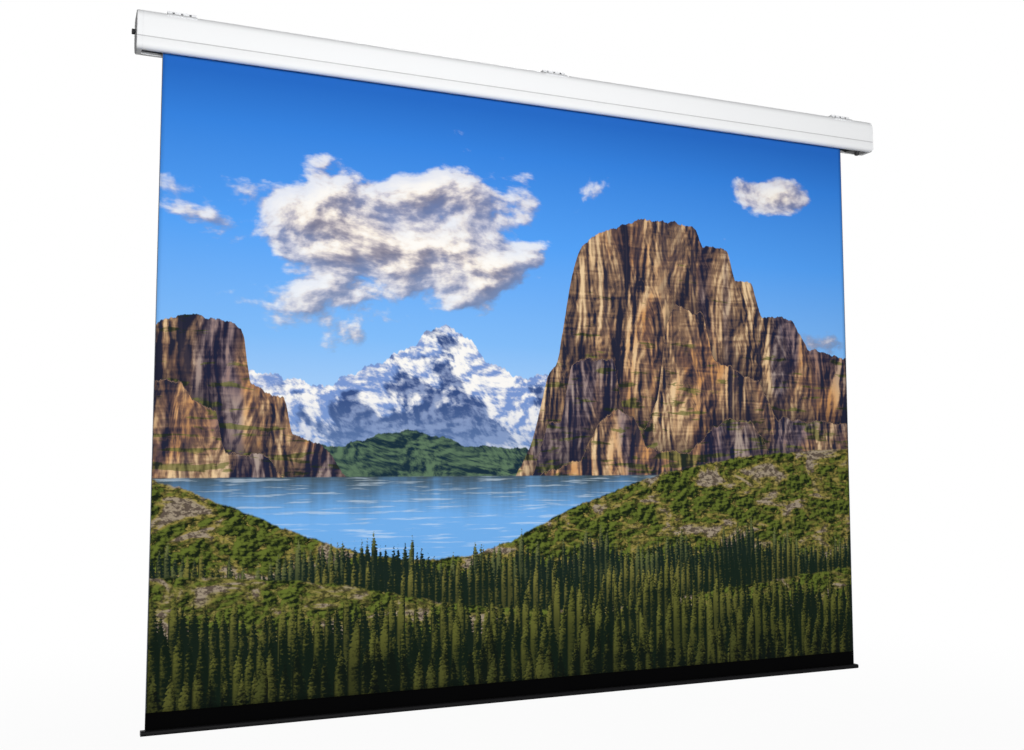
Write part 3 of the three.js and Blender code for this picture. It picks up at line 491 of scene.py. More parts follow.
# %% Sandstone
def massif(across, up, buttresses, seed):
    """Walls of sandstone, one before the other: upright cracks, level beds, and stained faces."""
    whole, offset, gap = None, across * 0.0 + seed, None
    for number, shape in enumerate(buttresses):
        height = skyline(across, seed + number, shape, 0.030, 0.035)
        here = below(up, height, 0.0010)
        offset = mix_number(here, offset, seed + 3.7 * number)
        shadow = smooth(up - height, 0.05, 0.0) * (1.0 - here)
        gap = shadow if gap is None else mix_number(here, gap.maths("MAXIMUM", shadow), 0.0)
        whole = here if whole is None else whole.maths("MAXIMUM", here)

    def walls(x, z):
        bulk = grain(x + offset, z, 0.16, 0.34, 3.0, 3.0, 0.5, 0.3)
        pillars = grain(x + offset, z, 0.060, 0.26, 1.0, 5.0, 0.53, 0.5)
        cracks = grain(x + offset, z, 0.016, 0.045, 4.0, 3.0, 0.6, 0.6)
        beds = grain(x + offset, z, 0.22, 0.024, 7.0, 4.0, 0.55, 0.3)
        return bulk * 2.2 + pillars * 1.0 + cracks * 0.17 + beds * 0.17

    facing = sunlit(walls, across, up, 0.0046)
    tone = grain(across + offset, up, 0.13, 0.30, 2.0, 4.0, 0.62, 0.8)
    stain = grain(across + offset, up, 0.022, 0.34, 6.0, 4.0, 0.66, 0.6)
    lit_face = mix(smooth(tone, 0.36, 0.64), rgb(206, 150, 96), rgb(234, 202, 158))
    dim_face = mix(smooth(tone, 0.4, 0.6), rgb(118, 88, 76), rgb(150, 118, 92))
    colour = mix(smooth(facing, -0.085, 0.05), rgb(34, 36, 54), dim_face)
    colour = mix(smooth(facing, 0.0, 0.12), colour, lit_face)
    colour = mix(smooth(stain, 0.55, 0.68) * 0.55, colour, rgb(70, 60, 68))
    bays = grain(across + offset, up, 0.17, 0.5, 9.0, 3.0, 0.5, 0.4)
    blue_face = mix(smooth(facing, -0.05, 0.1), rgb(24, 30, 58), rgb(104, 106, 130))
    colour = mix(smooth(bays, 0.50, 0.60) * 0.62, colour, blue_face)
    colour = mix(gap * 0.6, colour, rgb(28, 30, 48))
    ledge = grain(across + offset, up, 0.10, 0.016, 5.0, 4.0, 0.62, 0.3)
    scrub = smooth(ledge + (0.42 - up) * 0.45, 0.56, 0.62)
    green = mix(smooth(facing, -0.04, 0.07), rgb(30, 40, 26), rgb(110, 112, 58))
    return mix(scrub * 0.8, colour, green), whole


# %% Water, scrub and firs
def lake(across, up):
    """Still water that mirrors the sky, and the far shore near its edge."""
    ripples = grain(across, up, 0.10, 0.006, 1.0, 4.0, 0.6)
    image = grain(across, up, 0.06, 0.5, 12.0, 4.0, 0.6)
    depth = smooth(up + image * 0.07 + ripples * 0.03, 0.325, 0.415)
    colour = mix(depth, rgb(112, 172, 232), rgb(64, 78, 84))
    return mix(smooth(ripples, 0.54, 0.70) * 0.45, colour, rgb(206, 224, 240)), smooth(up, 0.352, 0.349)


def scrub_slope(across, up, shape, seed, sunny):
    """A near slope of dry grass, stones and round bushes."""
    height = skyline(across, seed, shape, 0.014, 0.03, "AUTO")

    def bushes(x, z):
        return puffs(x, z * 1.5, 0.024, seed)

    patch = grain(across, up, 0.10, 0.05, seed, 4.0, 0.62, 0.4)
    fine = grain(across, up, 0.012, 0.007, seed + 2.0, 2.0, 0.7)
    grass = mix(smooth(fine, 0.35, 0.65), rgb(64, 62, 34), sunny)
    stones = mix(smooth(fine, 0.4, 0.6), rgb(92, 80, 70), rgb(156, 142, 122))
    bare = mix(smooth(patch, 0.56, 0.64), grass, stones)
    facing = smooth(sunlit(bushes, across, up, 0.004), -0.10, 0.14)
    green = mix(facing, rgb(18, 28, 14), rgb(98, 110, 44))
    bushy = smooth(bushes(across, up), 0.52, 0.60) * smooth(patch, 0.58, 0.48)
    return mix(bushy, bare, green), below(up, height, 0.002)


def fir_row(across, up, spacing, foot, tallest, seed, dark, light):
    """A row of fir trees, one to a spacing, each a spire of drooping tiers."""
    place = across / spacing + seed
    cell = place.maths("FLOOR")
    chance = place.node("ShaderNodeTexWhiteNoise", {"noise_dimensions": "1D"}, {"W": cell})
    chance_too = place.node("ShaderNodeTexWhiteNoise", {"noise_dimensions": "1D"}, {"W": cell + 71.3})
    aside = (place - cell - 0.5 - (chance_too - 0.5) * 0.5) * spacing
    rolling = grain(cell * spacing, cell * 0.0, 0.12, 1.0, seed, 2.0, 0.6) * 0.12
    depth = rolling + foot - 0.01 + (chance * chance * 0.75 + 0.25) * tallest - up
    tiers = depth / (tallest * 0.13) + chance_too
    droop = tiers.maths("FRACT")
    ragged = grain(across, up, 0.0045, 0.0030, seed, 1.0, 0.6) - 0.5
    half = depth * (droop * 0.13 + 0.17) + ragged * 0.008
    tree = smooth(half - abs(aside), -0.0009, 0.0009)
    glade = grain(across, up, 0.16, 0.05, seed + 5.0, 2.0, 0.6) - 0.5
    lit = ragged * 1.1 - aside / spacing * 1.1 - droop * 0.25 + (chance - 0.5) * 0.7 + glade * 1.6
    between = smooth(abs(place - cell - 0.5), 0.5, 0.26)
    fade = smooth(depth, tallest * 1.6, tallest * 0.2)
    return mix(smooth(lit, -0.35, 0.55) * between * (fade * 0.7 + 0.3), dark, light), tree


# %% [markdown]
# The layers are put together from the far to the near. Each wall of rock and each slope has its own
# skyline, a list of places across and heights. A row of firs is given by the trees' spacing, the
# height of their feet, the tallest tree, a seed, and the dark and light sides' colours.


# %% The whole landscape
left_walls = [
    [
        (0.0, 0.585), (0.02, 0.60), (0.05, 0.605), (0.085, 0.60), (0.10, 0.585), (0.108, 0.50),
        (0.125, 0.485), (0.15, 0.475), (0.16, 0.42), (0.2, 0.40), (0.23, 0.35), (0.3, 0.3),
    ],
    [(0.0, 0.50), (0.03, 0.50), (0.045, 0.47), (0.07, 0.455), (0.08, 0.39), (0.13, 0.385), (0.16, 0.34), (0.2, 0.3)],
]
right_walls = [
    [
        (0.44, 0.32), (0.475, 0.40), (0.50, 0.53), (0.515, 0.55), (0.535, 0.70), (0.545, 0.75),
        (0.565, 0.785), (0.60, 0.80), (0.64, 0.825), (0.70, 0.83), (0.735, 0.82), (0.745, 0.79),
        (0.79, 0.785), (0.80, 0.73), (0.83, 0.72), (0.845, 0.66), (0.90, 0.655), (0.93, 0.60), (1.0, 0.585),
    ],
    [
        (0.455, 0.30), (0.48, 0.36), (0.50, 0.44), (0.52, 0.45), (0.535, 0.55), (0.56, 0.565),
        (0.60, 0.56), (0.615, 0.45), (0.65, 0.43), (0.67, 0.50), (0.685, 0.64), (0.70, 0.665),
        (0.745, 0.66), (0.76, 0.57), (0.80, 0.55), (0.84, 0.53), (0.87, 0.46), (1.0, 0.45),
    ],
    [
        (0.46, 0.30), (0.49, 0.355), (0.55, 0.38), (0.58, 0.45), (0.605, 0.47), (0.63, 0.46), (0.65, 0.40),
        (0.72, 0.39), (0.76, 0.44), (0.79, 0.46), (0.83, 0.45), (0.86, 0.38), (1.0, 0.36),
    ],
]
far_slope = [
    (0.0, 0.35), (0.10, 0.30), (0.20, 0.245), (0.3, 0.215), (0.4, 0.22), (0.55, 0.30), (0.72, 0.365), (1.0, 0.40),
]
near_slope = [(0.0, 0.20), (0.2, 0.18), (0.4, 0.13), (0.6, 0.115), (0.8, 0.14), (1.0, 0.165)]


def landscape(across, up):
    """All the layers, each laid over the ones behind it as soon as it is drawn."""
    picture = sky_and_clouds(across, up)
    layers = [
        (snowy_range,),
        (wooded_hills,),
        (massif, left_walls, 2.0),
        (massif, right_walls, 11.0),
        (lake,),
        (scrub_slope, far_slope, 31.0, rgb(150, 136, 70)),
        (fir_row, 0.0105, 0.155, 0.040, 4.0, rgb(20, 34, 28), rgb(106, 112, 66)),
        (fir_row, 0.0120, 0.130, 0.044, 9.0, rgb(18, 32, 24), rgb(122, 118, 58)),
        (scrub_slope, near_slope, 47.0, rgb(134, 126, 66)),
        (fir_row, 0.0150, 0.075, 0.052, 17.0, rgb(16, 28, 20), rgb(112, 112, 52)),
        (fir_row, 0.0180, 0.035, 0.060, 23.0, rgb(12, 24, 16), rgb(100, 102, 46)),
        (fir_row, 0.0220, -0.015, 0.070, 29.0, rgb(9, 18, 12), rgb(88, 90, 42)),
        (fir_row, 0.0260, -0.070, 0.085, 37.0, rgb(6, 12, 9), rgb(72, 76, 36)),
    ]
    for paint, *sizes in layers:
        colour, mask = paint(across, up, *sizes)
        picture = mix(mask, picture, colour)
    return picture


# %% [markdown]
# ## Cloth finishes
# Projection cloth is a matt white weave. The weave is far finer than the picture, so it only
# leans the normal and spreads the gloss a little. The cut edges at the sides show as a thin grey
# line. The border is black cloth that gives back almost no light, and the cloth's back is coated
# black too, a little lighter and cloudy.


# %% Cloth finishes
def weave_of(base, spacing):
    """The relief of a plain weave: two crossed waves, over and under in turn."""
    x, _, z = at_point(base).xyz()
    warp, weft = x * (math.pi / spacing), z * (math.pi / spacing)
    return warp.maths("SINE") * weft.maths("SINE")


def projection_cloth(base):
    """White cloth with the landscape on it. Its cut edges are a thousandth of its height wide."""
    across, up, _ = base.node("ShaderNodeUVMap", {"uv_map": "picture"}).xyz()
    colour = landscape(across, up)
    cut_edge = 0.0011
    edge = (across < cut_edge).maths("MAXIMUM", across > picture_width / picture_height - cut_edge)
    weave = weave_of(base, 1.1 * MM)
    fibres = noise(at_point(base), 900.0, 2.0)
    return {
        "Base Color": mix(edge, colour, rgb(112, 116, 126)),
        "Roughness": fibres * 0.10 + 0.80,
        "Normal": bump(weave, 0.04 * MM, 0.5),
        "Specular IOR Level": 0.05,
    }


def black_weave(dark, light, lint):
    """Black cloth between a dark and a light grey, with lint on it."""

    def paint(base):
        fibres = noise(at_point(base), 1200.0, 3.0, 0.6)
        specks = smooth(noise(at_point(base), 260.0, 4.0, 0.7), 0.66, 0.8)
        clouds = noise(at_point(base), 5.0, 3.0)
        colour = mix(fibres * 0.6 + clouds * 0.4, rgb(dark, dark, dark), rgb(light, light, light + 1))
        return {
            "Base Color": mix(specks * 0.25, colour, rgb(lint, lint, lint + 2)),
            "Roughness": fibres * 0.12 + 0.82,
            "Normal": bump(weave_of(base, 1.3 * MM) + fibres * 0.4, 0.06 * MM, 0.6),
            "Specular IOR Level": 0.02,
        }

    return paint


fabric_low, fabric_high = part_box("screen_fabric")
picture_width = fabric_high.x - fabric_low.x
picture_height = picture_width * 3 / 4
cloth_finish = finish_of("screen_cloth", projection_cloth)
border_finish = finish_of("black_cloth", black_weave(1, 5, 20))
back_finish = finish_of("cloth_back", black_weave(16, 34, 60))
print("picture", round(picture_width, 3), "by", round(picture_height, 3), len(cloth_finish.node_tree.nodes), "nodes")

# %% [markdown]
# ## Metal, paint and plastic finishes
# Powder coat is an even paint with a very slight orange peel. The groove along the casing's front
# is painted grey: painted shade in the groove, with some dust. Zinc plate has small crystals of
# different brightness, mill aluminium keeps fine lines along the length it was drawn, anodised black
# aluminium has the same lines under a dark skin, and moulded plastic has a fine grain. Each is a
# short function, and the ones that differ only in colour share one.


# %% Rigid finishes
casing_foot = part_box("casing_profile")[0]
seam = casing_foot.z + 44 * MM


def seam_shade_and_dust(base):
    """1 in the groove along the front of the casing: painted shade in the groove, with some dust."""
    _, y, z = at_point(base).xyz()
    return smooth(abs(z - seam), 2.8 * MM, 0.9 * MM) * (y < casing_foot.y + 4 * MM)


def powder_coat(colour, shadow, peel, shade_and_dust_line=None):
    """Paint baked on metal. peel is the height of its orange peel."""

    def paint(base):
        place = at_point(base)
        clouds = noise(place, 7.0, 3.0)
        dust = smooth(noise(place, 420.0, 3.0, 0.7), 0.70, 0.80)
        ripple = noise(place, 340.0, 2.0)
        painted = mix(dust * 0.25 + clouds * 0.12, colour, shadow)
        # The groove is greyed here: painted shade in the groove, with some dust.
        if shade_and_dust_line:
            painted = mix(shade_and_dust_line(base) * (clouds * 0.3 + 0.65), painted, rgb(190, 190, 191))
        return {
            "Base Color": painted,
            "Roughness": clouds * 0.06 + 0.46,
            "Normal": bump(ripple, peel, 0.35),
            "Specular IOR Level": 0.06,
        }

    return paint


def zinc_plate(base):
    """Steel under a skin of zinc crystals, smeared by handling."""
    place = at_point(base)
    spangle = cells(place, 330.0, "Color").xyz()[0]
    smear = noise(place, 40.0, 4.0, 0.6, 0.5)
    return {
        "Base Color": mix(spangle * 0.6 + smear * 0.4, rgb(150, 156, 164), rgb(214, 218, 222)),
        "Metallic": 1.0,
        "Roughness": spangle * 0.14 + smear * 0.16 + 0.22,
        "Normal": bump(smear, 0.02 * MM, 0.4),
    }


def drawn_metal(dark, light, rough, metallic, gloss=0.5, along="x"):
    """Metal with fine lines along the way it was drawn or turned."""

    def paint(base):
        x, y, z = at_point(base).xyz()
        fine, long = 90.0, 0.6
        if along == "x":
            lines = joined(x, x * long, y * fine, z * fine)
        else:
            lines = joined(x, x * fine, y * long, z * long)
        streak = noise(lines, 9.0, 4.0, 0.65)
        scuff = smooth(noise(at_point(base), 18.0, 5.0, 0.7, 0.8), 0.60, 0.72)
        return {
            "Base Color": mix(streak, dark, light),
            "Metallic": metallic,
            "Roughness": streak * 0.16 + scuff * 0.10 + rough,
            "Normal": bump(streak, 0.01 * MM, 0.4),
            "Specular IOR Level": gloss,
        }

    return paint


def moulded_plastic(dark, light):
    """Plastic from a mould with a fine even grain."""

    def paint(base):
        place = at_point(base)
        grains = cells(place, 520.0)
        cloud = noise(place, 30.0, 3.0)
        return {
            "Base Color": mix(cloud, dark, light),
            "Roughness": grains * 0.18 + cloud * 0.08 + 0.40,
            "Normal": bump(grains, 0.03 * MM, 0.5),
            "Specular IOR Level": 0.4,
        }

    return paint


def wound_copper(base):
    """Copper windings between steel laminations: thin rings along the motor's axis."""
    place = at_point(base)
    sheets = place.xyz()[0] * (math.pi / (0.5 * MM))
    lamina = smooth(sheets.maths("SINE"), -0.3, 0.3)
    varnish = noise(place, 160.0, 4.0, 0.6)
    return {
        "Base Color": mix(lamina, rgb(126, 64, 34), mix(varnish, rgb(160, 84, 42), rgb(206, 124, 70))),
        "Metallic": 0.85,
        "Roughness": varnish * 0.2 + 0.28,
        "Normal": bump(lamina, 0.04 * MM, 0.6),
    }


def sintered_bronze(base):
    """Bronze pressed from powder, with dark pores."""
    place = at_point(base)
    pores = smooth(cells(place, 900.0), 0.25, 0.12)
    cloud = noise(place, 60.0, 3.0)
    return {
        "Base Color": mix(pores, mix(cloud, rgb(150, 116, 66), rgb(190, 152, 88)), rgb(66, 48, 28)),
        "Metallic": 0.9,
        "Roughness": pores * 0.3 + 0.34,
        "Normal": bump(1.0 - pores, 0.04 * MM, 0.6),
    }


def cable_sheath(base):
    """The black rubber of a flexible cable."""
    speckle = noise(at_point(base), 700.0, 3.0, 0.6)
    return {
        "Base Color": mix(speckle, rgb(16, 16, 17), rgb(34, 34, 36)),
        "Roughness": speckle * 0.2 + 0.55,
        "Normal": bump(speckle, 0.02 * MM, 0.4),
        "Specular IOR Level": 0.35,
    }


paints = {
    # The casing's paint greys its front groove: painted shade, with some dust.
    "white_paint": powder_coat(rgb(248, 249, 250), rgb(232, 233, 236), 0.03 * MM, seam_shade_and_dust),
    "bracket_paint": powder_coat(rgb(240, 241, 243), rgb(212, 214, 218), 0.06 * MM),
    "zinc_steel": zinc_plate,
    "dark_steel": drawn_metal(rgb(84, 86, 90), rgb(150, 152, 156), 0.30, 1.0, along="round"),
    "black_plastic": moulded_plastic(rgb(16, 16, 18), rgb(30, 30, 33)),
    "grey_plastic": moulded_plastic(rgb(140, 143, 147), rgb(158, 161, 165)),
    "white_plastic": moulded_plastic(rgb(230, 230, 224), rgb(242, 242, 238)),
    "yellow_plastic": moulded_plastic(rgb(206, 164, 26), rgb(224, 184, 44)),
    "copper_winding": wound_copper,
    "bronze": sintered_bronze,
    "bare_aluminium": drawn_metal(rgb(178, 181, 185), rgb(216, 218, 221), 0.26, 1.0),
    "black_aluminium": drawn_metal(rgb(8, 8, 9), rgb(20, 20, 22), 0.42, 0.0, gloss=0.05),
    "black_rubber": cable_sheath,
}
finishes = {name: finish_of(name, paint) for name, paint in paints.items()}
finishes |= {"screen_cloth": cloth_finish, "black_cloth": border_finish}
print(len(finishes), "finishes")

# %% [markdown]
# ## Clean edges on the frame's own pieces
# Most of the frame's rigid pieces have the right shape already. Their meshes are never changed;
# modifiers dress them instead: the loose triangles are joined, flat faces are melted together,
# the edges get a small round that catches the light, and only real corners stay sharp in shading.


# %% Geometry trees
def tree_with(name, *sizes):
    """An empty geometry tree with a number input for each size, and its inputs' signals by name."""
    tree = bpy.data.node_groups.new(name, "GeometryNodeTree")
    tree.interface.new_socket("Geometry", in_out="INPUT", socket_type="NodeSocketGeometry")
    tree.interface.new_socket("Geometry", in_out="OUTPUT", socket_type="NodeSocketGeometry")
    for size in sizes:
        tree.interface.new_socket(size, in_out="INPUT", socket_type="NodeSocketFloat")
    entry = tree.nodes.new("NodeGroupInput")
    return tree, {socket.name: Signal(tree, socket) for socket in entry.outputs if socket.name}


def end_with(tree, geometry):
    """Links a geometry to the tree's output."""
    way_out = tree.nodes.new("NodeGroupOutput")
    tree.links.new(geometry.socket, way_out.inputs[0])


def put_tree(piece, tree, **sizes):
    """Adds a tree to a piece as a modifier, with its inputs set by their identifiers."""
    modifier = piece.modifiers.new(tree.name, "NODES")
    modifier.node_group = tree
    for socket in tree.interface.items_tree:
        key = socket.name.lower().replace(" ", "_")
        if socket.in_out == "INPUT" and key in sizes:
            modifier[socket.identifier] = sizes.pop(key)
    assert not sizes, sizes


clean_tree, entry = tree_with("join_triangles")
shape = entry["Geometry"]
bare = shape.node("GeometryNodeRemoveAttribute", None, {"Geometry": shape, "Name": "custom_normal"})
end_with(clean_tree, bare.node("GeometryNodeMergeByDistance", None, {"Geometry": bare, "Distance": 0.01 * MM}))

shade_tree, entry = tree_with("smooth_but_corners", "Corner")
shape = entry["Geometry"]
flowing = shape.node("GeometryNodeSetShadeSmooth", {"domain": "FACE"}, {"Geometry": shape, "Shade Smooth": True})
angle = flowing.node("GeometryNodeInputMeshEdgeAngle", None, None, "Unsigned Angle")
sharp = {"Geometry": flowing, "Selection": angle > entry["Corner"], "Shade Smooth": False}
end_with(shade_tree, flowing.node("GeometryNodeSetShadeSmooth", {"domain": "EDGE"}, sharp))
print("trees", clean_tree.name, shade_tree.name)


# %% Dress the frame's pieces
real_corner, flat_enough = math.radians(35.0), math.radians(0.6)


def dress(piece, edge):
    """Gives a frame piece joined faces, a small round on its edges, and smooth shading."""
    put_tree(piece, clean_tree)
    if edge:
        flat = piece.modifiers.new("flat_faces", "DECIMATE")
        flat.decimate_type = "DISSOLVE"
        flat.angle_limit = flat_enough
        rounding = piece.modifiers.new("edge_round", "BEVEL")
        rounding.width = edge
        rounding.segments = 2
        rounding.limit_method = "ANGLE"
        rounding.angle_limit = real_corner
    put_tree(piece, shade_tree, corner=real_corner)


edge_rounds = {
    2.0: ["terminal_box"],
    1.0: ["run_capacitor"],
    0.8: ["limit_switch_block"],
    0.5: ["left_bracket", "middle_bracket", "right_bracket"],
    0.4: ["left_clamp_jaw", "middle_clamp_jaw", "right_clamp_jaw", "motor_head", "idler_axle"],
    0.3: ["slot_plate", "idler_plug", "drive_wheel", "crown_wheel"],
    0.2: ["left_support_plate", "right_support_plate"],
}
edge_of = {name: edge * MM for edge, names in edge_rounds.items() for name in names}
for name, node in nodes.items():
    node.data.materials.clear()
    node.data.materials.append(finishes[slot_of[name]])
    dress(node, edge_of.get(name, 0.0))
print(len(nodes), "frame pieces dressed")

# %% [markdown]
# ## Drawn profiles
# The casing, its lower cover and the bottom bar are aluminium profiles: one outline, pressed out
# to a length. A geometry tree does the same. The outline is drawn as a loop of edges, with fine
# arcs, and the tree fills it, draws it out, closes the far end, and turns it along the casing.


# %% Outlines
touching = 0.002 * MM


def bend(y, z, radius, first, last, steps=12):
    """Points of an arc round (y, z), from one angle to another in degrees."""
    angles = [math.radians(first + (last - first) * i / steps) for i in range(steps + 1)]
    return [(y + radius * math.cos(a), z + radius * math.sin(a)) for a in angles]


def loop_mesh(name, loop):
    """A mesh of one closed loop of edges. Its X and Y are the outline's Y and Z."""
    mesh = bpy.data.meshes.new(name)
    edges = [(i, (i + 1) % len(loop)) for i in range(len(loop))]
    mesh.from_pydata([(y, z, 0.0) for y, z in loop], edges, [])
    return mesh


def new_piece(name, mesh, finish, body, *replaced):
    """A finished piece: its finish and shading, the body that it rides on and what it stands for."""
    piece = bpy.data.objects.new(name, mesh)
    scene.collection.objects.link(piece)
    mesh.materials.clear()
    mesh.materials.append(finishes[finish])
    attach(piece, body)
    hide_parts(*replaced)
    print(name, len(mesh.vertices), "points", len(mesh.polygons), "faces")
    return piece


def grown(name, mesh, tree, **sizes):
    """Runs a geometry tree on a mesh and gives back the plain mesh that comes out."""
    worker = bpy.data.objects.new(name, mesh)
    scene.collection.objects.link(worker)
    put_tree(worker, tree, **sizes)
    bpy.context.view_layer.update()
    made = bpy.data.meshes.new_from_object(worker.evaluated_get(bpy.context.evaluated_depsgraph_get()))
    made.name = name
    bpy.data.objects.remove(worker)
    return made


def outward(mesh):
    """Joins doubled points and turns every face outwards."""
    work = bmesh.new()
    work.from_mesh(mesh)
    bmesh.ops.remove_doubles(work, verts=work.verts, dist=touching)
    bmesh.ops.recalc_face_normals(work, faces=work.faces)
    work.to_mesh(mesh)
    work.free()
    return mesh


def shaded(mesh, corner):
    """Smooth shading, with the real corners left sharp."""
    mesh.polygons.foreach_set("use_smooth", [True] * len(mesh.polygons))
    mesh.set_sharp_from_angle(angle=math.radians(corner))
    return mesh


press_tree, entry = tree_with("pressed_profile", "Start", "Length")
shape = entry["Geometry"]
drawn = shape.node("GeometryNodeMeshToCurve", None, {0: shape})
face = drawn.node("GeometryNodeFillCurve", {"mode": "NGONS"}, {0: drawn})
along = joined(face, 0.0, 0.0, entry["Length"])
walls = face.node("GeometryNodeExtrudeMesh", {"mode": "FACES"}, {"Mesh": face, "Offset": along, "Individual": False})
foot = face.node("GeometryNodeFlipFaces", None, {0: face})
closed = face.node("GeometryNodeJoinGeometry", None, {0: [walls, foot]})
welded = closed.node("GeometryNodeMergeByDistance", None, {"Geometry": closed, "Distance": touching})
y, z, x = welded.node("GeometryNodeInputPosition").xyz()
moves = {"Geometry": welded, "Position": joined(welded, x + entry["Start"], y, z)}
turned = welded.node("GeometryNodeSetPosition", None, moves)
end_with(press_tree, turned.node("GeometryNodeRealizeInstances", None, {0: turned}))
print("press ready")

# %% [markdown]
# ## The casing
# The front above the seam, the round shoulder, the top, the back with its rail and the wide round
# of the rear bottom are one profile, 2 mm thick. Three round ports inside it take the screws of
# the end plates. The lower cover clips on in front: it makes the seam's groove, the flat below it
# and the round lip at the slot.

# %% Casing profiles
shell_low, shell_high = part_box("casing_profile")
front, rear, lip, top = shell_low.y, shell_high.y, shell_low.z, shell_high.z
wall = 2 * MM
shoulder, rear_top, front_bottom = 35 * MM, 16 * MM, 19 * MM
slot_front = front + front_bottom + 5 * MM
slot_rear = slot_front + 40 * MM
rear_bottom = rear - slot_rear
groove_half, groove_depth, seam_gap = 2.8 * MM, 1.8 * MM, 0.8 * MM
groove_side = [  # the distance from the seam and the depth of each point, from the front inwards
    (groove_half + 0.3 * MM, 0.0),
    (groove_half - 0.3 * MM, 0.25 * MM),
    (seam_gap, groove_depth),
]
rail_top = top - 24 * MM
rail_bottom, rail_depth = rail_top - 6 * MM, 5 * MM
port_outer, port_inner = 5.5 * MM, 1.9 * MM
port_sink = wall + port_outer - port_inner / 4
port_angle = math.radians(-55)
ports = [
    (front + port_sink, top - 40 * MM),
    (rear - 30 * MM, top - port_sink),
    (
        slot_rear + (rear_bottom - port_sink) * math.cos(port_angle),
        lip + rear_bottom + (rear_bottom - port_sink) * math.sin(port_angle),
    ),
]
casing_loop = [
    *[(front + sunk, seam + away) for away, sunk in groove_side[::-1]],
    *bend(front + shoulder, top - shoulder, shoulder, 180, 90, 20),
    *bend(rear - rear_top, top - rear_top, rear_top, 90, 0, 14),
    (rear, rail_top),
    (rear - rail_depth, rail_top),
    (rear - rail_depth, rail_bottom),
    (rear, rail_bottom),
    *bend(slot_rear, lip + rear_bottom, rear_bottom, 0, -90, 30),
    *bend(slot_rear, lip + rear_bottom, rear_bottom - wall, -90, 0, 30),
    (rear - wall, rail_bottom - wall),
    (rear - rail_depth - wall, rail_bottom - wall),
    (rear - rail_depth - wall, rail_top + wall),
    (rear - wall, rail_top + wall),
    *bend(rear - rear_top, top - rear_top, rear_top - wall, 0, 90, 14),
    *bend(front + shoulder, top - shoulder, shoulder - wall, 90, 180, 20),
    (front + wall, seam + seam_gap),
]
cover_low, cover_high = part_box("front_lower_cover")
tongue = front + wall + 0.3 * MM
cover_loop = [
    (slot_front, lip),
    *bend(front + front_bottom, lip + front_bottom, front_bottom, -90, -180, 16),
    *[(front + sunk, seam - away) for away, sunk in groove_side],
    (tongue, seam - seam_gap),
    (tongue, cover_high.z),
    (tongue + wall, cover_high.z),
    (tongue + wall, seam - wall),
    (front + wall, seam - 2 * wall),
    *bend(front + front_bottom, lip + front_bottom, front_bottom - wall, -180, -90, 16),
    (slot_front, lip + wall),
]


def combined(first, second, operation):
    """One mesh joined with another, or cut by it. The second one is used up."""
    body = bpy.data.objects.new("body", first)
    tool = bpy.data.objects.new("tool", second)
    for worker in (body, tool):
        scene.collection.objects.link(worker)
    cut = body.modifiers.new("cut", "BOOLEAN")
    cut.operation, cut.object, cut.solver = operation, tool, "EXACT"
    bpy.context.view_layer.update()
    made = bpy.data.meshes.new_from_object(body.evaluated_get(bpy.context.evaluated_depsgraph_get()))
    for worker in (body, tool):
        bpy.data.objects.remove(worker)
    return made


def press_mesh(name, loop, low, high):
    """The plain mesh of a profile pressed out from X low to X high."""
    return outward(grown(name, loop_mesh(name, loop), press_tree, start=low, length=high - low))


shell = press_mesh("casing_shell", casing_loop, shell_low.x, shell_high.x)
for y, z in ports:
    rod = press_mesh("port", bend(y, z, port_outer, 0, 345, 23), shell_low.x, shell_high.x)
    shell = combined(shell, rod, "UNION")
for y, z in ports:
    drill = press_mesh("drill", bend(y, z, port_inner, 0, 330, 11), shell_low.x - wall, shell_high.x + wall)
    shell = combined(shell, drill, "DIFFERENCE")
new_piece("casing_shell", shaded(outward(shell), 30.0), "white_paint", "casing", "casing_profile")
cover = press_mesh("lower_cover", cover_loop, cover_low.x, cover_high.x)
new_piece("lower_cover", shaded(cover, 30.0), "white_paint", "casing", "front_lower_cover")

# %% [markdown]
# ## The end caps
# Each end is closed by a cap as deep as a finger, with a small round on its edge. It is a stack of
# outlines: the casing's own outline at the rim, and smaller and smaller ones over the rounding.
# The same stack, made smaller by the wall, gives the inside, and a ring of faces joins the two
# at the rim. The front's groove runs on over the cap. The left cap has a hole for the roller's axle.


# %% End caps
cap_length, cap_rounding, cap_wall = 20 * MM, 4 * MM, 2.5 * MM
arc_steps, rounding_steps = 14, 8


def cap_outline(inset, outside):
    """The casing's outline with its slot closed, moved inwards. The groove is on the outside only."""
    share = 1.0 if outside else 0.0
    groove = groove_side + [(-away, sunk) for away, sunk in groove_side[::-1]]
    return [
        *bend(front + front_bottom, lip + front_bottom, front_bottom - inset, 180, 270, arc_steps),
        *bend(slot_rear, lip + rear_bottom, rear_bottom - inset, -90, 0, 2 * arc_steps),
        *bend(rear - rear_top, top - rear_top, rear_top - inset, 0, 90, arc_steps),
        *bend(front + shoulder, top - shoulder, shoulder - inset, 90, 180, arc_steps),
        *[(front + inset + sunk * share, seam + away) for away, sunk in groove],
    ]


def stacked(name, outlines):
    """Faces between outlines that follow each other, each a list of points, and over both ends."""
    mesh = bpy.data.meshes.new(name)
    count = len(outlines[0])
    faces = []
    for level in range(len(outlines) - 1):
        low, high = level * count, (level + 1) * count
        faces += [(low + i, low + (i + 1) % count, high + (i + 1) % count, high + i) for i in range(count)]
    faces.append(tuple(reversed(range(count))))
    faces.append(tuple(range((len(outlines) - 1) * count, len(outlines) * count)))
    mesh.from_pydata([point for outline in outlines for point in outline], [], faces)
    return outward(mesh)


def cap_levels(side, inset):
    """The outlines of a cap's outside, or of its inside if there is an inset."""
    face = cap_length - inset
    round_over = cap_rounding - inset
    levels = [(0.3 * MM, inset)]
    for i in range(rounding_steps + 1):
        turn = math.pi / 2 * i / rounding_steps
        levels.append((face - round_over + round_over * math.sin(turn), inset + round_over * (1 - math.cos(turn))))
    end = shell_high.x if side > 0 else shell_low.x
    return [[(end + side * out, y, z) for y, z in cap_outline(inward, not inset)] for out, inward in levels]


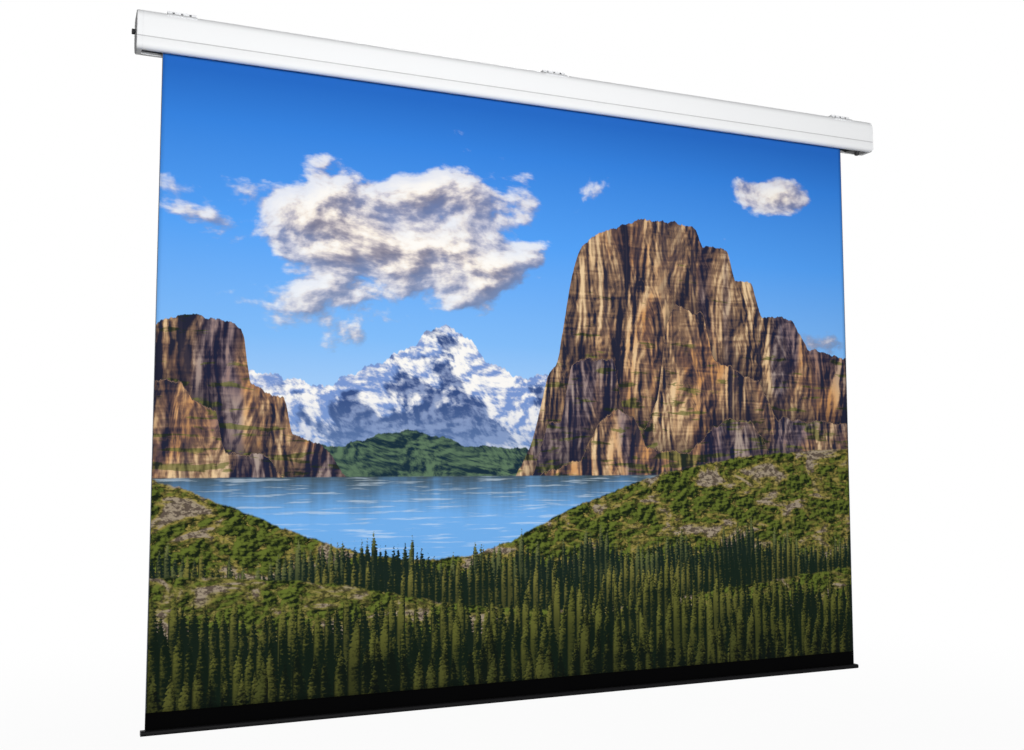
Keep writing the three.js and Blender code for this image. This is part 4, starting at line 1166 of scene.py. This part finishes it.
axle_bore = 6.3 * MM
tube_low, tube_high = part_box("roller_tube")
axis_y, axis_z = (tube_low.y + tube_high.y) / 2, (tube_low.z + tube_high.z) / 2
for side, name in ((-1, "left"), (1, "right")):
    levels = cap_levels(side, cap_wall)[::-1] + cap_levels(side, 0.0)
    cap = stacked(f"{name}_cap", levels)
    if side < 0:
        ring = bend(axis_y, axis_z, axle_bore, 0, 352.5, 47)
        outer = shell_low.x - cap_length
        drill = stacked("drill", [[(x, y, z) for y, z in ring] for x in (outer - wall, outer + 2 * cap_wall)])
        cap = combined(cap, drill, "DIFFERENCE")
    new_piece(f"{name}_cap", shaded(outward(cap), 40.0), "white_paint", "casing", f"{name}_end_cap")

# %% [markdown]
# ## The bottom bar
# A hollow oval of black anodised aluminium weighs the cloth down. It is open along its top, where
# the hem slides in, so its outline runs once round outside and back round inside. A small moulded
# cap closes each end.

# %% Bottom bar
bar_low, bar_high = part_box("bottom_bar")
cloth_y = (bar_low.y + bar_high.y) / 2
bar_corner, bar_wall, slot_half = 6 * MM, 2 * MM, 0.8 * MM


def bar_outline(inset):
    """The oval from its top right corner, round below, to its top left corner."""
    radius, steps = bar_corner - inset, 8
    left, right = bar_low.y + bar_corner, bar_high.y - bar_corner
    low, high = bar_low.z + bar_corner, bar_high.z - bar_corner
    return [
        *bend(right, high, radius, 90, 0, steps),
        *bend(right, low, radius, 0, -90, steps),
        *bend(left, low, radius, -90, -180, steps),
        *bend(left, high, radius, 180, 90, steps),
    ]


bar_loop = [
    (cloth_y + slot_half, bar_high.z),
    *bar_outline(0.0),
    (cloth_y - slot_half, bar_high.z),
    (cloth_y - slot_half, bar_high.z - bar_wall),
    *bar_outline(bar_wall)[::-1],
    (cloth_y + slot_half, bar_high.z - bar_wall),
]
bar = press_mesh("weight_bar", bar_loop, bar_low.x, bar_high.x)
new_piece("weight_bar", shaded(bar, 30.0), "black_aluminium", "bar", "bottom_bar")
# Each level of a bar cap, in mm: how far out it lies and how far inside the bar's outline.
cap_profile = [(-8.0, 2.6), (-7.6, 2.3), (0.3, 2.3), (0.3, 0.0), (1.5, 0.0), (1.9, 0.15), (2.2, 0.5), (2.3, 1.0)]
for side, name in ((-1, "left"), (1, "right")):
    end = bar_high.x if side > 0 else bar_low.x
    levels = [[(end + side * out * MM, y, z) for y, z in bar_outline(inset * MM)] for out, inset in cap_profile]
    cap = shaded(stacked(f"{name}_bar_end", levels), 40.0)
    new_piece(f"{name}_bar_end", cap, "black_plastic", "bar", f"{name}_bar_cap")

# %% [markdown]
# ## The cloth
# The screen is one length of cloth. It leaves the roller at its front, hangs through the slot, and
# ends in a black border whose hem is held by the bar. Real cloth under a bar isn't quite flat: it
# keeps very shallow upright waves that fade out at the roller and at the bar. They stand off to the
# front alone, so that the rolled-up cloth stays clear of the turn behind it. Each sheet is a grid
# of points in front, the same grid a cloth's thickness behind, and a strip of faces round the
# edge. The front carries the map for the picture. The cloth can't roll up with the motor, so it
# shortens towards the roller.

# %% Hanging cloth
cloth_front, thickness = fabric_low.y, 0.3 * MM
wave_height = 0.55 * MM
crossing_waves = [(1.0, 7.1, 0.6), (0.6, 12.7, 2.0), (0.35, 21.3, 0.0)]  # share, radians a metre, start
highest_wave = sum(share for share, _, _ in crossing_waves)


def ripple(across, height_share):
    """How far the cloth stands off its plane: shallow upright waves, none at the top and bottom."""
    waves = sum(share * math.sin(across * turns + start) for share, turns, start in crossing_waves)
    return wave_height * (waves - highest_wave) * math.sin(math.pi * height_share) ** 1.5


def sheet_mesh(name, low, high, columns, rows, still_top, still_bottom):
    """A closed sheet between two corners of a CAD box, with its picture map."""
    mesh = bpy.data.meshes.new(name)
    points, spots, faces = [], [], []
    whole = still_top - still_bottom
    for back in (0, 1):
        for row in range(rows + 1):
            z = low.z + (high.z - low.z) * row / rows
            for column in range(columns + 1):
                x = low.x + (high.x - low.x) * column / columns
                y = cloth_front + back * thickness + ripple(x, (z - still_bottom) / whole)
                points.append((x, y, z))
                spots.append(((x - fabric_low.x) / picture_height, (z - fabric_low.z) / picture_height))
    wide = columns + 1
    layer = wide * (rows + 1)
    for row in range(rows):
        for column in range(columns):
            a = row * wide + column
            faces.append((a, a + 1, a + wide + 1, a + wide))
            faces.append((layer + a, layer + a + wide, layer + a + wide + 1, layer + a + 1))
    rim = [
        *range(wide),
        *[row * wide + columns for row in range(1, rows + 1)],
        *[rows * wide + column for column in range(columns - 1, -1, -1)],
        *[row * wide for row in range(rows - 1, 0, -1)],
    ]
    for here, there in zip(rim, rim[1:] + rim[:1]):
        faces.append((here, layer + here, layer + there, there))
    mesh.from_pydata(points, [], faces)
    chart = mesh.uv_layers.new(name="picture")
    for corner in mesh.loops:
        chart.data[corner.index].uv = spots[corner.vertex_index]
    for face in mesh.polygons:
        face.use_smooth = abs(face.normal.y) > 0.5
    return mesh


hem_low, hem_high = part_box("lower_border")
seam_low = Vector((fabric_low.x, fabric_low.y, hem_high.z))
cloth = sheet_mesh("screen_sheet", seam_low, fabric_high, 150, 118, fabric_high.z, hem_low.z)
screen_sheet = new_piece("screen_sheet", cloth, "screen_cloth", "casing", "screen_fabric")
cloth.materials.append(back_finish)
for face in cloth.polygons:
    face.material_index = 1 if face.normal.y > 0.5 else 0
hem = sheet_mesh("border_cloth", hem_low, hem_high, 150, 4, fabric_high.z, hem_low.z)
border_cloth = new_piece("border_cloth", hem, "black_cloth", "bar", "lower_border")

# %% [markdown]
# A safety turn stays on the roller when the screen is down, so that the cloth never pulls on its
# glue. It is a strip that spirals inwards from where the hanging cloth leaves the roller, down to
# the tube. Both are 0.3 mm thick, so the turn stays behind the hanging cloth at every angle.

# %% Turn on the roller
wraps_low, wraps_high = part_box("fabric_wraps")
tube_gap = 0.1 * MM
wind_radius = axis_y - (fabric_low.y + fabric_high.y) / 2
wind_pitch = wind_radius - thickness / 2 - tube_gap - (tube_high.y - tube_low.y) / 2
turn_steps = 96
outer_turn, inner_turn = [], []
for i in range(turn_steps + 1):
    turn = i / turn_steps
    angle = math.pi - 2 * math.pi * turn
    radius = wind_radius - thickness / 2 - wind_pitch * turn
    for side, out in ((inner_turn, radius), (outer_turn, radius + thickness)):
        side.append((axis_y + out * math.cos(angle), axis_z + out * math.sin(angle)))
turn_mesh = press_mesh("wound_turn", outer_turn + inner_turn[::-1], wraps_low.x, wraps_high.x)
wound_turn = new_piece("wound_turn", shaded(turn_mesh, 40.0), "black_cloth", "roller", "fabric_wraps")

turn_length = 2 * math.pi * (wind_radius - wind_pitch / 2)
lift = next(joint for joint in frame["joints"] if joint["name"] == "bar_lift")["range_m"][1]
1 - lift / (axis_z - fabric_low.z)
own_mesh(screen_sheet)

# %% [markdown]
# ## Turned and ribbed pieces
# The knob on the axle, the nut of the supply gland and the clamp screws are turned round an axis.
# Each starts as an outline of radius and height that is spun into a mesh. Then a geometry tree
# moves the points in or out by a rule: grips repeat with the angle, and a thread climbs with the
# angle and the height together.


# %% Spinning and its trees
def spun(name, outline, steps):
    """A closed mesh from a list of radius and height, spun round its own Z axis."""
    mesh = bpy.data.meshes.new(name)
    angles = [2 * math.pi * i / steps for i in range(steps)]
    points = [(radius * math.cos(a), radius * math.sin(a), height) for radius, height in outline for a in angles]
    faces = []
    for level in range(len(outline)):
        low, high = level * steps, (level + 1) % len(outline) * steps
        faces += [(low + i, low + (i + 1) % steps, high + (i + 1) % steps, high + i) for i in range(steps)]
    mesh.from_pydata(points, [], faces)
    return mesh


def polar(shape):
    """The place of each point, and its radius and its turn from 0 to 1 about the Z axis."""
    x, y, z = shape.node("GeometryNodeInputPosition").xyz()
    return x, y, z, (x * x + y * y).maths("SQRT"), y.maths("ARCTAN2", x) / (2 * math.pi)


def end_pressed(tree, shape, x, y, z, radius, depth):
    """Moves each point in by a depth, and links the shape to the tree's output."""
    shrink = 1.0 - depth / radius.maths("MAXIMUM", 0.1 * MM)
    moves = {"Geometry": shape, "Position": joined(x, x * shrink, y * shrink, z)}
    moved = shape.node("GeometryNodeSetPosition", None, moves)
    end_with(tree, moved.node("GeometryNodeRealizeInstances", None, {0: moved}))


grip_tree, entry = tree_with("finger_grips", "Count", "Depth", "From Radius", "Low", "High")
x, y, z, radius, turn = polar(entry["Geometry"])
wave = (turn * entry["Count"]).maths("FRACT") - 0.5
scoop = smooth(abs(wave), 0.12, 0.42, 1.0, 0.0)
held = (radius > entry["From Radius"]) * (z > entry["Low"]) * (z < entry["High"])
end_pressed(grip_tree, entry["Geometry"], x, y, z, radius, scoop * held * entry["Depth"])

thread_tree, entry = tree_with("screw_thread", "Pitch", "Depth", "Radius", "Low", "High")
x, y, z, radius, turn = polar(entry["Geometry"])
climb = z / entry["Pitch"] + turn
flank = climb.maths("PINGPONG", 0.5) * 2.0
on_shank = (radius > entry["Radius"] * 0.9) * (radius < entry["Radius"] * 1.1)
held = (z > entry["Low"]) * (z < entry["High"]) * on_shank
end_pressed(thread_tree, entry["Geometry"], x, y, z, radius, flank * held * entry["Depth"])
print("trees", grip_tree.name, thread_tree.name)

# %% [markdown]
# ## The axle knob
# A black grip nut holds the roller's axle from outside. It has twelve scallops for the fingers, a
# dished face and a rounded rim.

# %% Axle knob
knob_low, knob_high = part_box("axle_knob")
knob_radius, knob_length = (knob_high.y - knob_low.y) / 2, knob_high.x - knob_low.x
bore_depth = 6.3 * MM
rim_round, foot_round, on_axis, round_steps = 1.2 * MM, 0.5 * MM, 0.05 * MM, 144
grip_top, grip_rings = knob_length - rim_round, 10
rim = [
    (knob_radius - rim_round + rim_round * math.sin(a), grip_top + rim_round * math.cos(a))
    for a in (0.0, 0.4, 0.8, 1.2, math.pi / 2)
]
grip_levels = [(knob_radius, grip_top - (grip_top - foot_round) * i / grip_rings) for i in range(1, grip_rings + 1)]
knob_outline = [
    (on_axis, knob_length - 0.9 * MM),
    (4.5 * MM, knob_length - 0.9 * MM),
    (5.2 * MM, knob_length - 0.7 * MM),
    (6.0 * MM, knob_length),
    *rim,
    *grip_levels,
    (knob_radius - foot_round, 0.0),
    (axle_bore, 0.0),
    (axle_bore, bore_depth),
    (on_axis, bore_depth),
]
knob_mesh = grown(
    "grip_knob",
    spun("grip_knob", knob_outline, round_steps),
    grip_tree,
    count=12.0,
    depth=0.9 * MM,
    from_radius=knob_radius * 0.86,
    low=-1.0,
    high=1.0,
)
knob_mesh.transform(Matrix.Translation((knob_high.x, axis_y, axis_z)) @ Matrix.Rotation(-math.pi / 2, 4, "Y"))
new_piece("grip_knob", shaded(outward(knob_mesh), 40.0), "black_plastic", "casing", "axle_knob")

# %% [markdown]
# ## The supply gland
# The mains cable would enter through a black gland under the right end: a round dome nut with a
# ribbed rim, and a neck that goes up through the slot plate. Its bore is open from end to end.

# %% Supply gland
gland_low, gland_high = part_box("power_gland")
gland_x, gland_y = (gland_low.x + gland_high.x) / 2, (gland_low.y + gland_high.y) / 2
nut_radius, gland_bore, neck = (gland_high.x - gland_low.x) / 2, 4.2 * MM, 8.5 * MM
under_lip = lip - 0.3 * MM - gland_low.z
dome_round, dome_steps = neck / 2, 8
dome_angles = [math.pi / 2 * i / dome_steps for i in range(dome_steps + 1)]
dome = [
    (nut_radius - dome_round + dome_round * math.sin(a), dome_round - dome_round * math.cos(a)) for a in dome_angles
]
skirt = [(nut_radius, dome_round + (under_lip - dome_round) * i / 8) for i in range(1, 9)]
height = gland_high.z - gland_low.z
gland_outline = [
    (gland_bore, 0.6 * MM),
    (gland_bore + 0.6 * MM, 0.0),
    *dome,
    *skirt,
    (neck, under_lip),
    (neck, height - 0.5 * MM),
    (neck - 0.5 * MM, height),
    (gland_bore + 0.5 * MM, height),
    (gland_bore, height - 0.5 * MM),
]
gland_mesh = grown(
    "supply_gland",
    spun("supply_gland", gland_outline, round_steps),
    grip_tree,
    count=18.0,
    depth=0.6 * MM,
    from_radius=nut_radius * 0.95,
    low=dome_round + 0.5 * MM,
    high=under_lip - 1.0 * MM,
)
gland_mesh.transform(Matrix.Translation((gland_x, gland_y, gland_low.z)))
new_piece("supply_gland", shaded(outward(gland_mesh), 40.0), "black_plastic", "casing", "power_gland")

# %% [markdown]
# ## The clamp screws
# A screw in each bracket's rear arm pulls a jaw into the casing's rail. It is M6 with a thread of
# 1 mm pitch and a round head with a driver's slot. The outline is spun with many rings on its
# shank, the tree presses the thread into them, and a thin block cuts the slot. One mesh serves
# for the three, each moved to its bracket.

# %% Clamp screws
screw_low, screw_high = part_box("middle_clamp_screw")
screw_z = (screw_low.z + screw_high.z) / 2
head_length, head_radius, shank_radius = 6 * MM, (screw_high.z - screw_low.z) / 2, 3 * MM
shank_length = screw_high.y - screw_low.y - head_length
tip, rings = 0.4 * MM, 140
shank = [(shank_radius, tip + (shank_length - tip) * i / rings) for i in range(rings + 1)]
full_length = shank_length + head_length
screw_outline = [
    (on_axis, 0.0),
    (shank_radius - 0.5 * MM, 0.0),
    *shank,
    (head_radius - 0.3 * MM, shank_length),
    (head_radius, shank_length + 0.3 * MM),
    (head_radius, full_length - 0.9 * MM),
    (head_radius - 0.3 * MM, full_length - 0.3 * MM),
    (head_radius - 0.9 * MM, full_length),
    (on_axis, full_length),
]
screw_mesh = grown(
    "clamp_screw",
    spun("clamp_screw", screw_outline, 36),
    thread_tree,
    pitch=1.0 * MM,
    depth=0.55 * MM,
    radius=shank_radius,
    low=0.5 * MM,
    high=shank_length - 0.2 * MM,
)
half_slot, slot_depth, past = 0.5 * MM, 1.6 * MM, 10 * MM
slot_corners = [(-past, -half_slot), (past, -half_slot), (past, half_slot), (-past, half_slot)]
slot_box = [[(x, y, z) for x, y in slot_corners] for z in (full_length - slot_depth, full_length + past)]
screw_mesh = combined(outward(screw_mesh), stacked("slot_block", slot_box), "DIFFERENCE")
screw_mesh.transform(Matrix.Translation((0, screw_low.y, screw_z)) @ Matrix.Rotation(-math.pi / 2, 4, "X"))
for name in ("left", "middle", "right"):
    low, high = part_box(f"{name}_clamp_screw")
    made = screw_mesh.copy()
    made.transform(Matrix.Translation(((low.x + high.x) / 2, 0, 0)))
    body = f"{name}_clamp_screw"
    new_piece(f"{name}_threaded_screw", shaded(outward(made), 40.0), "zinc_steel", body, body)
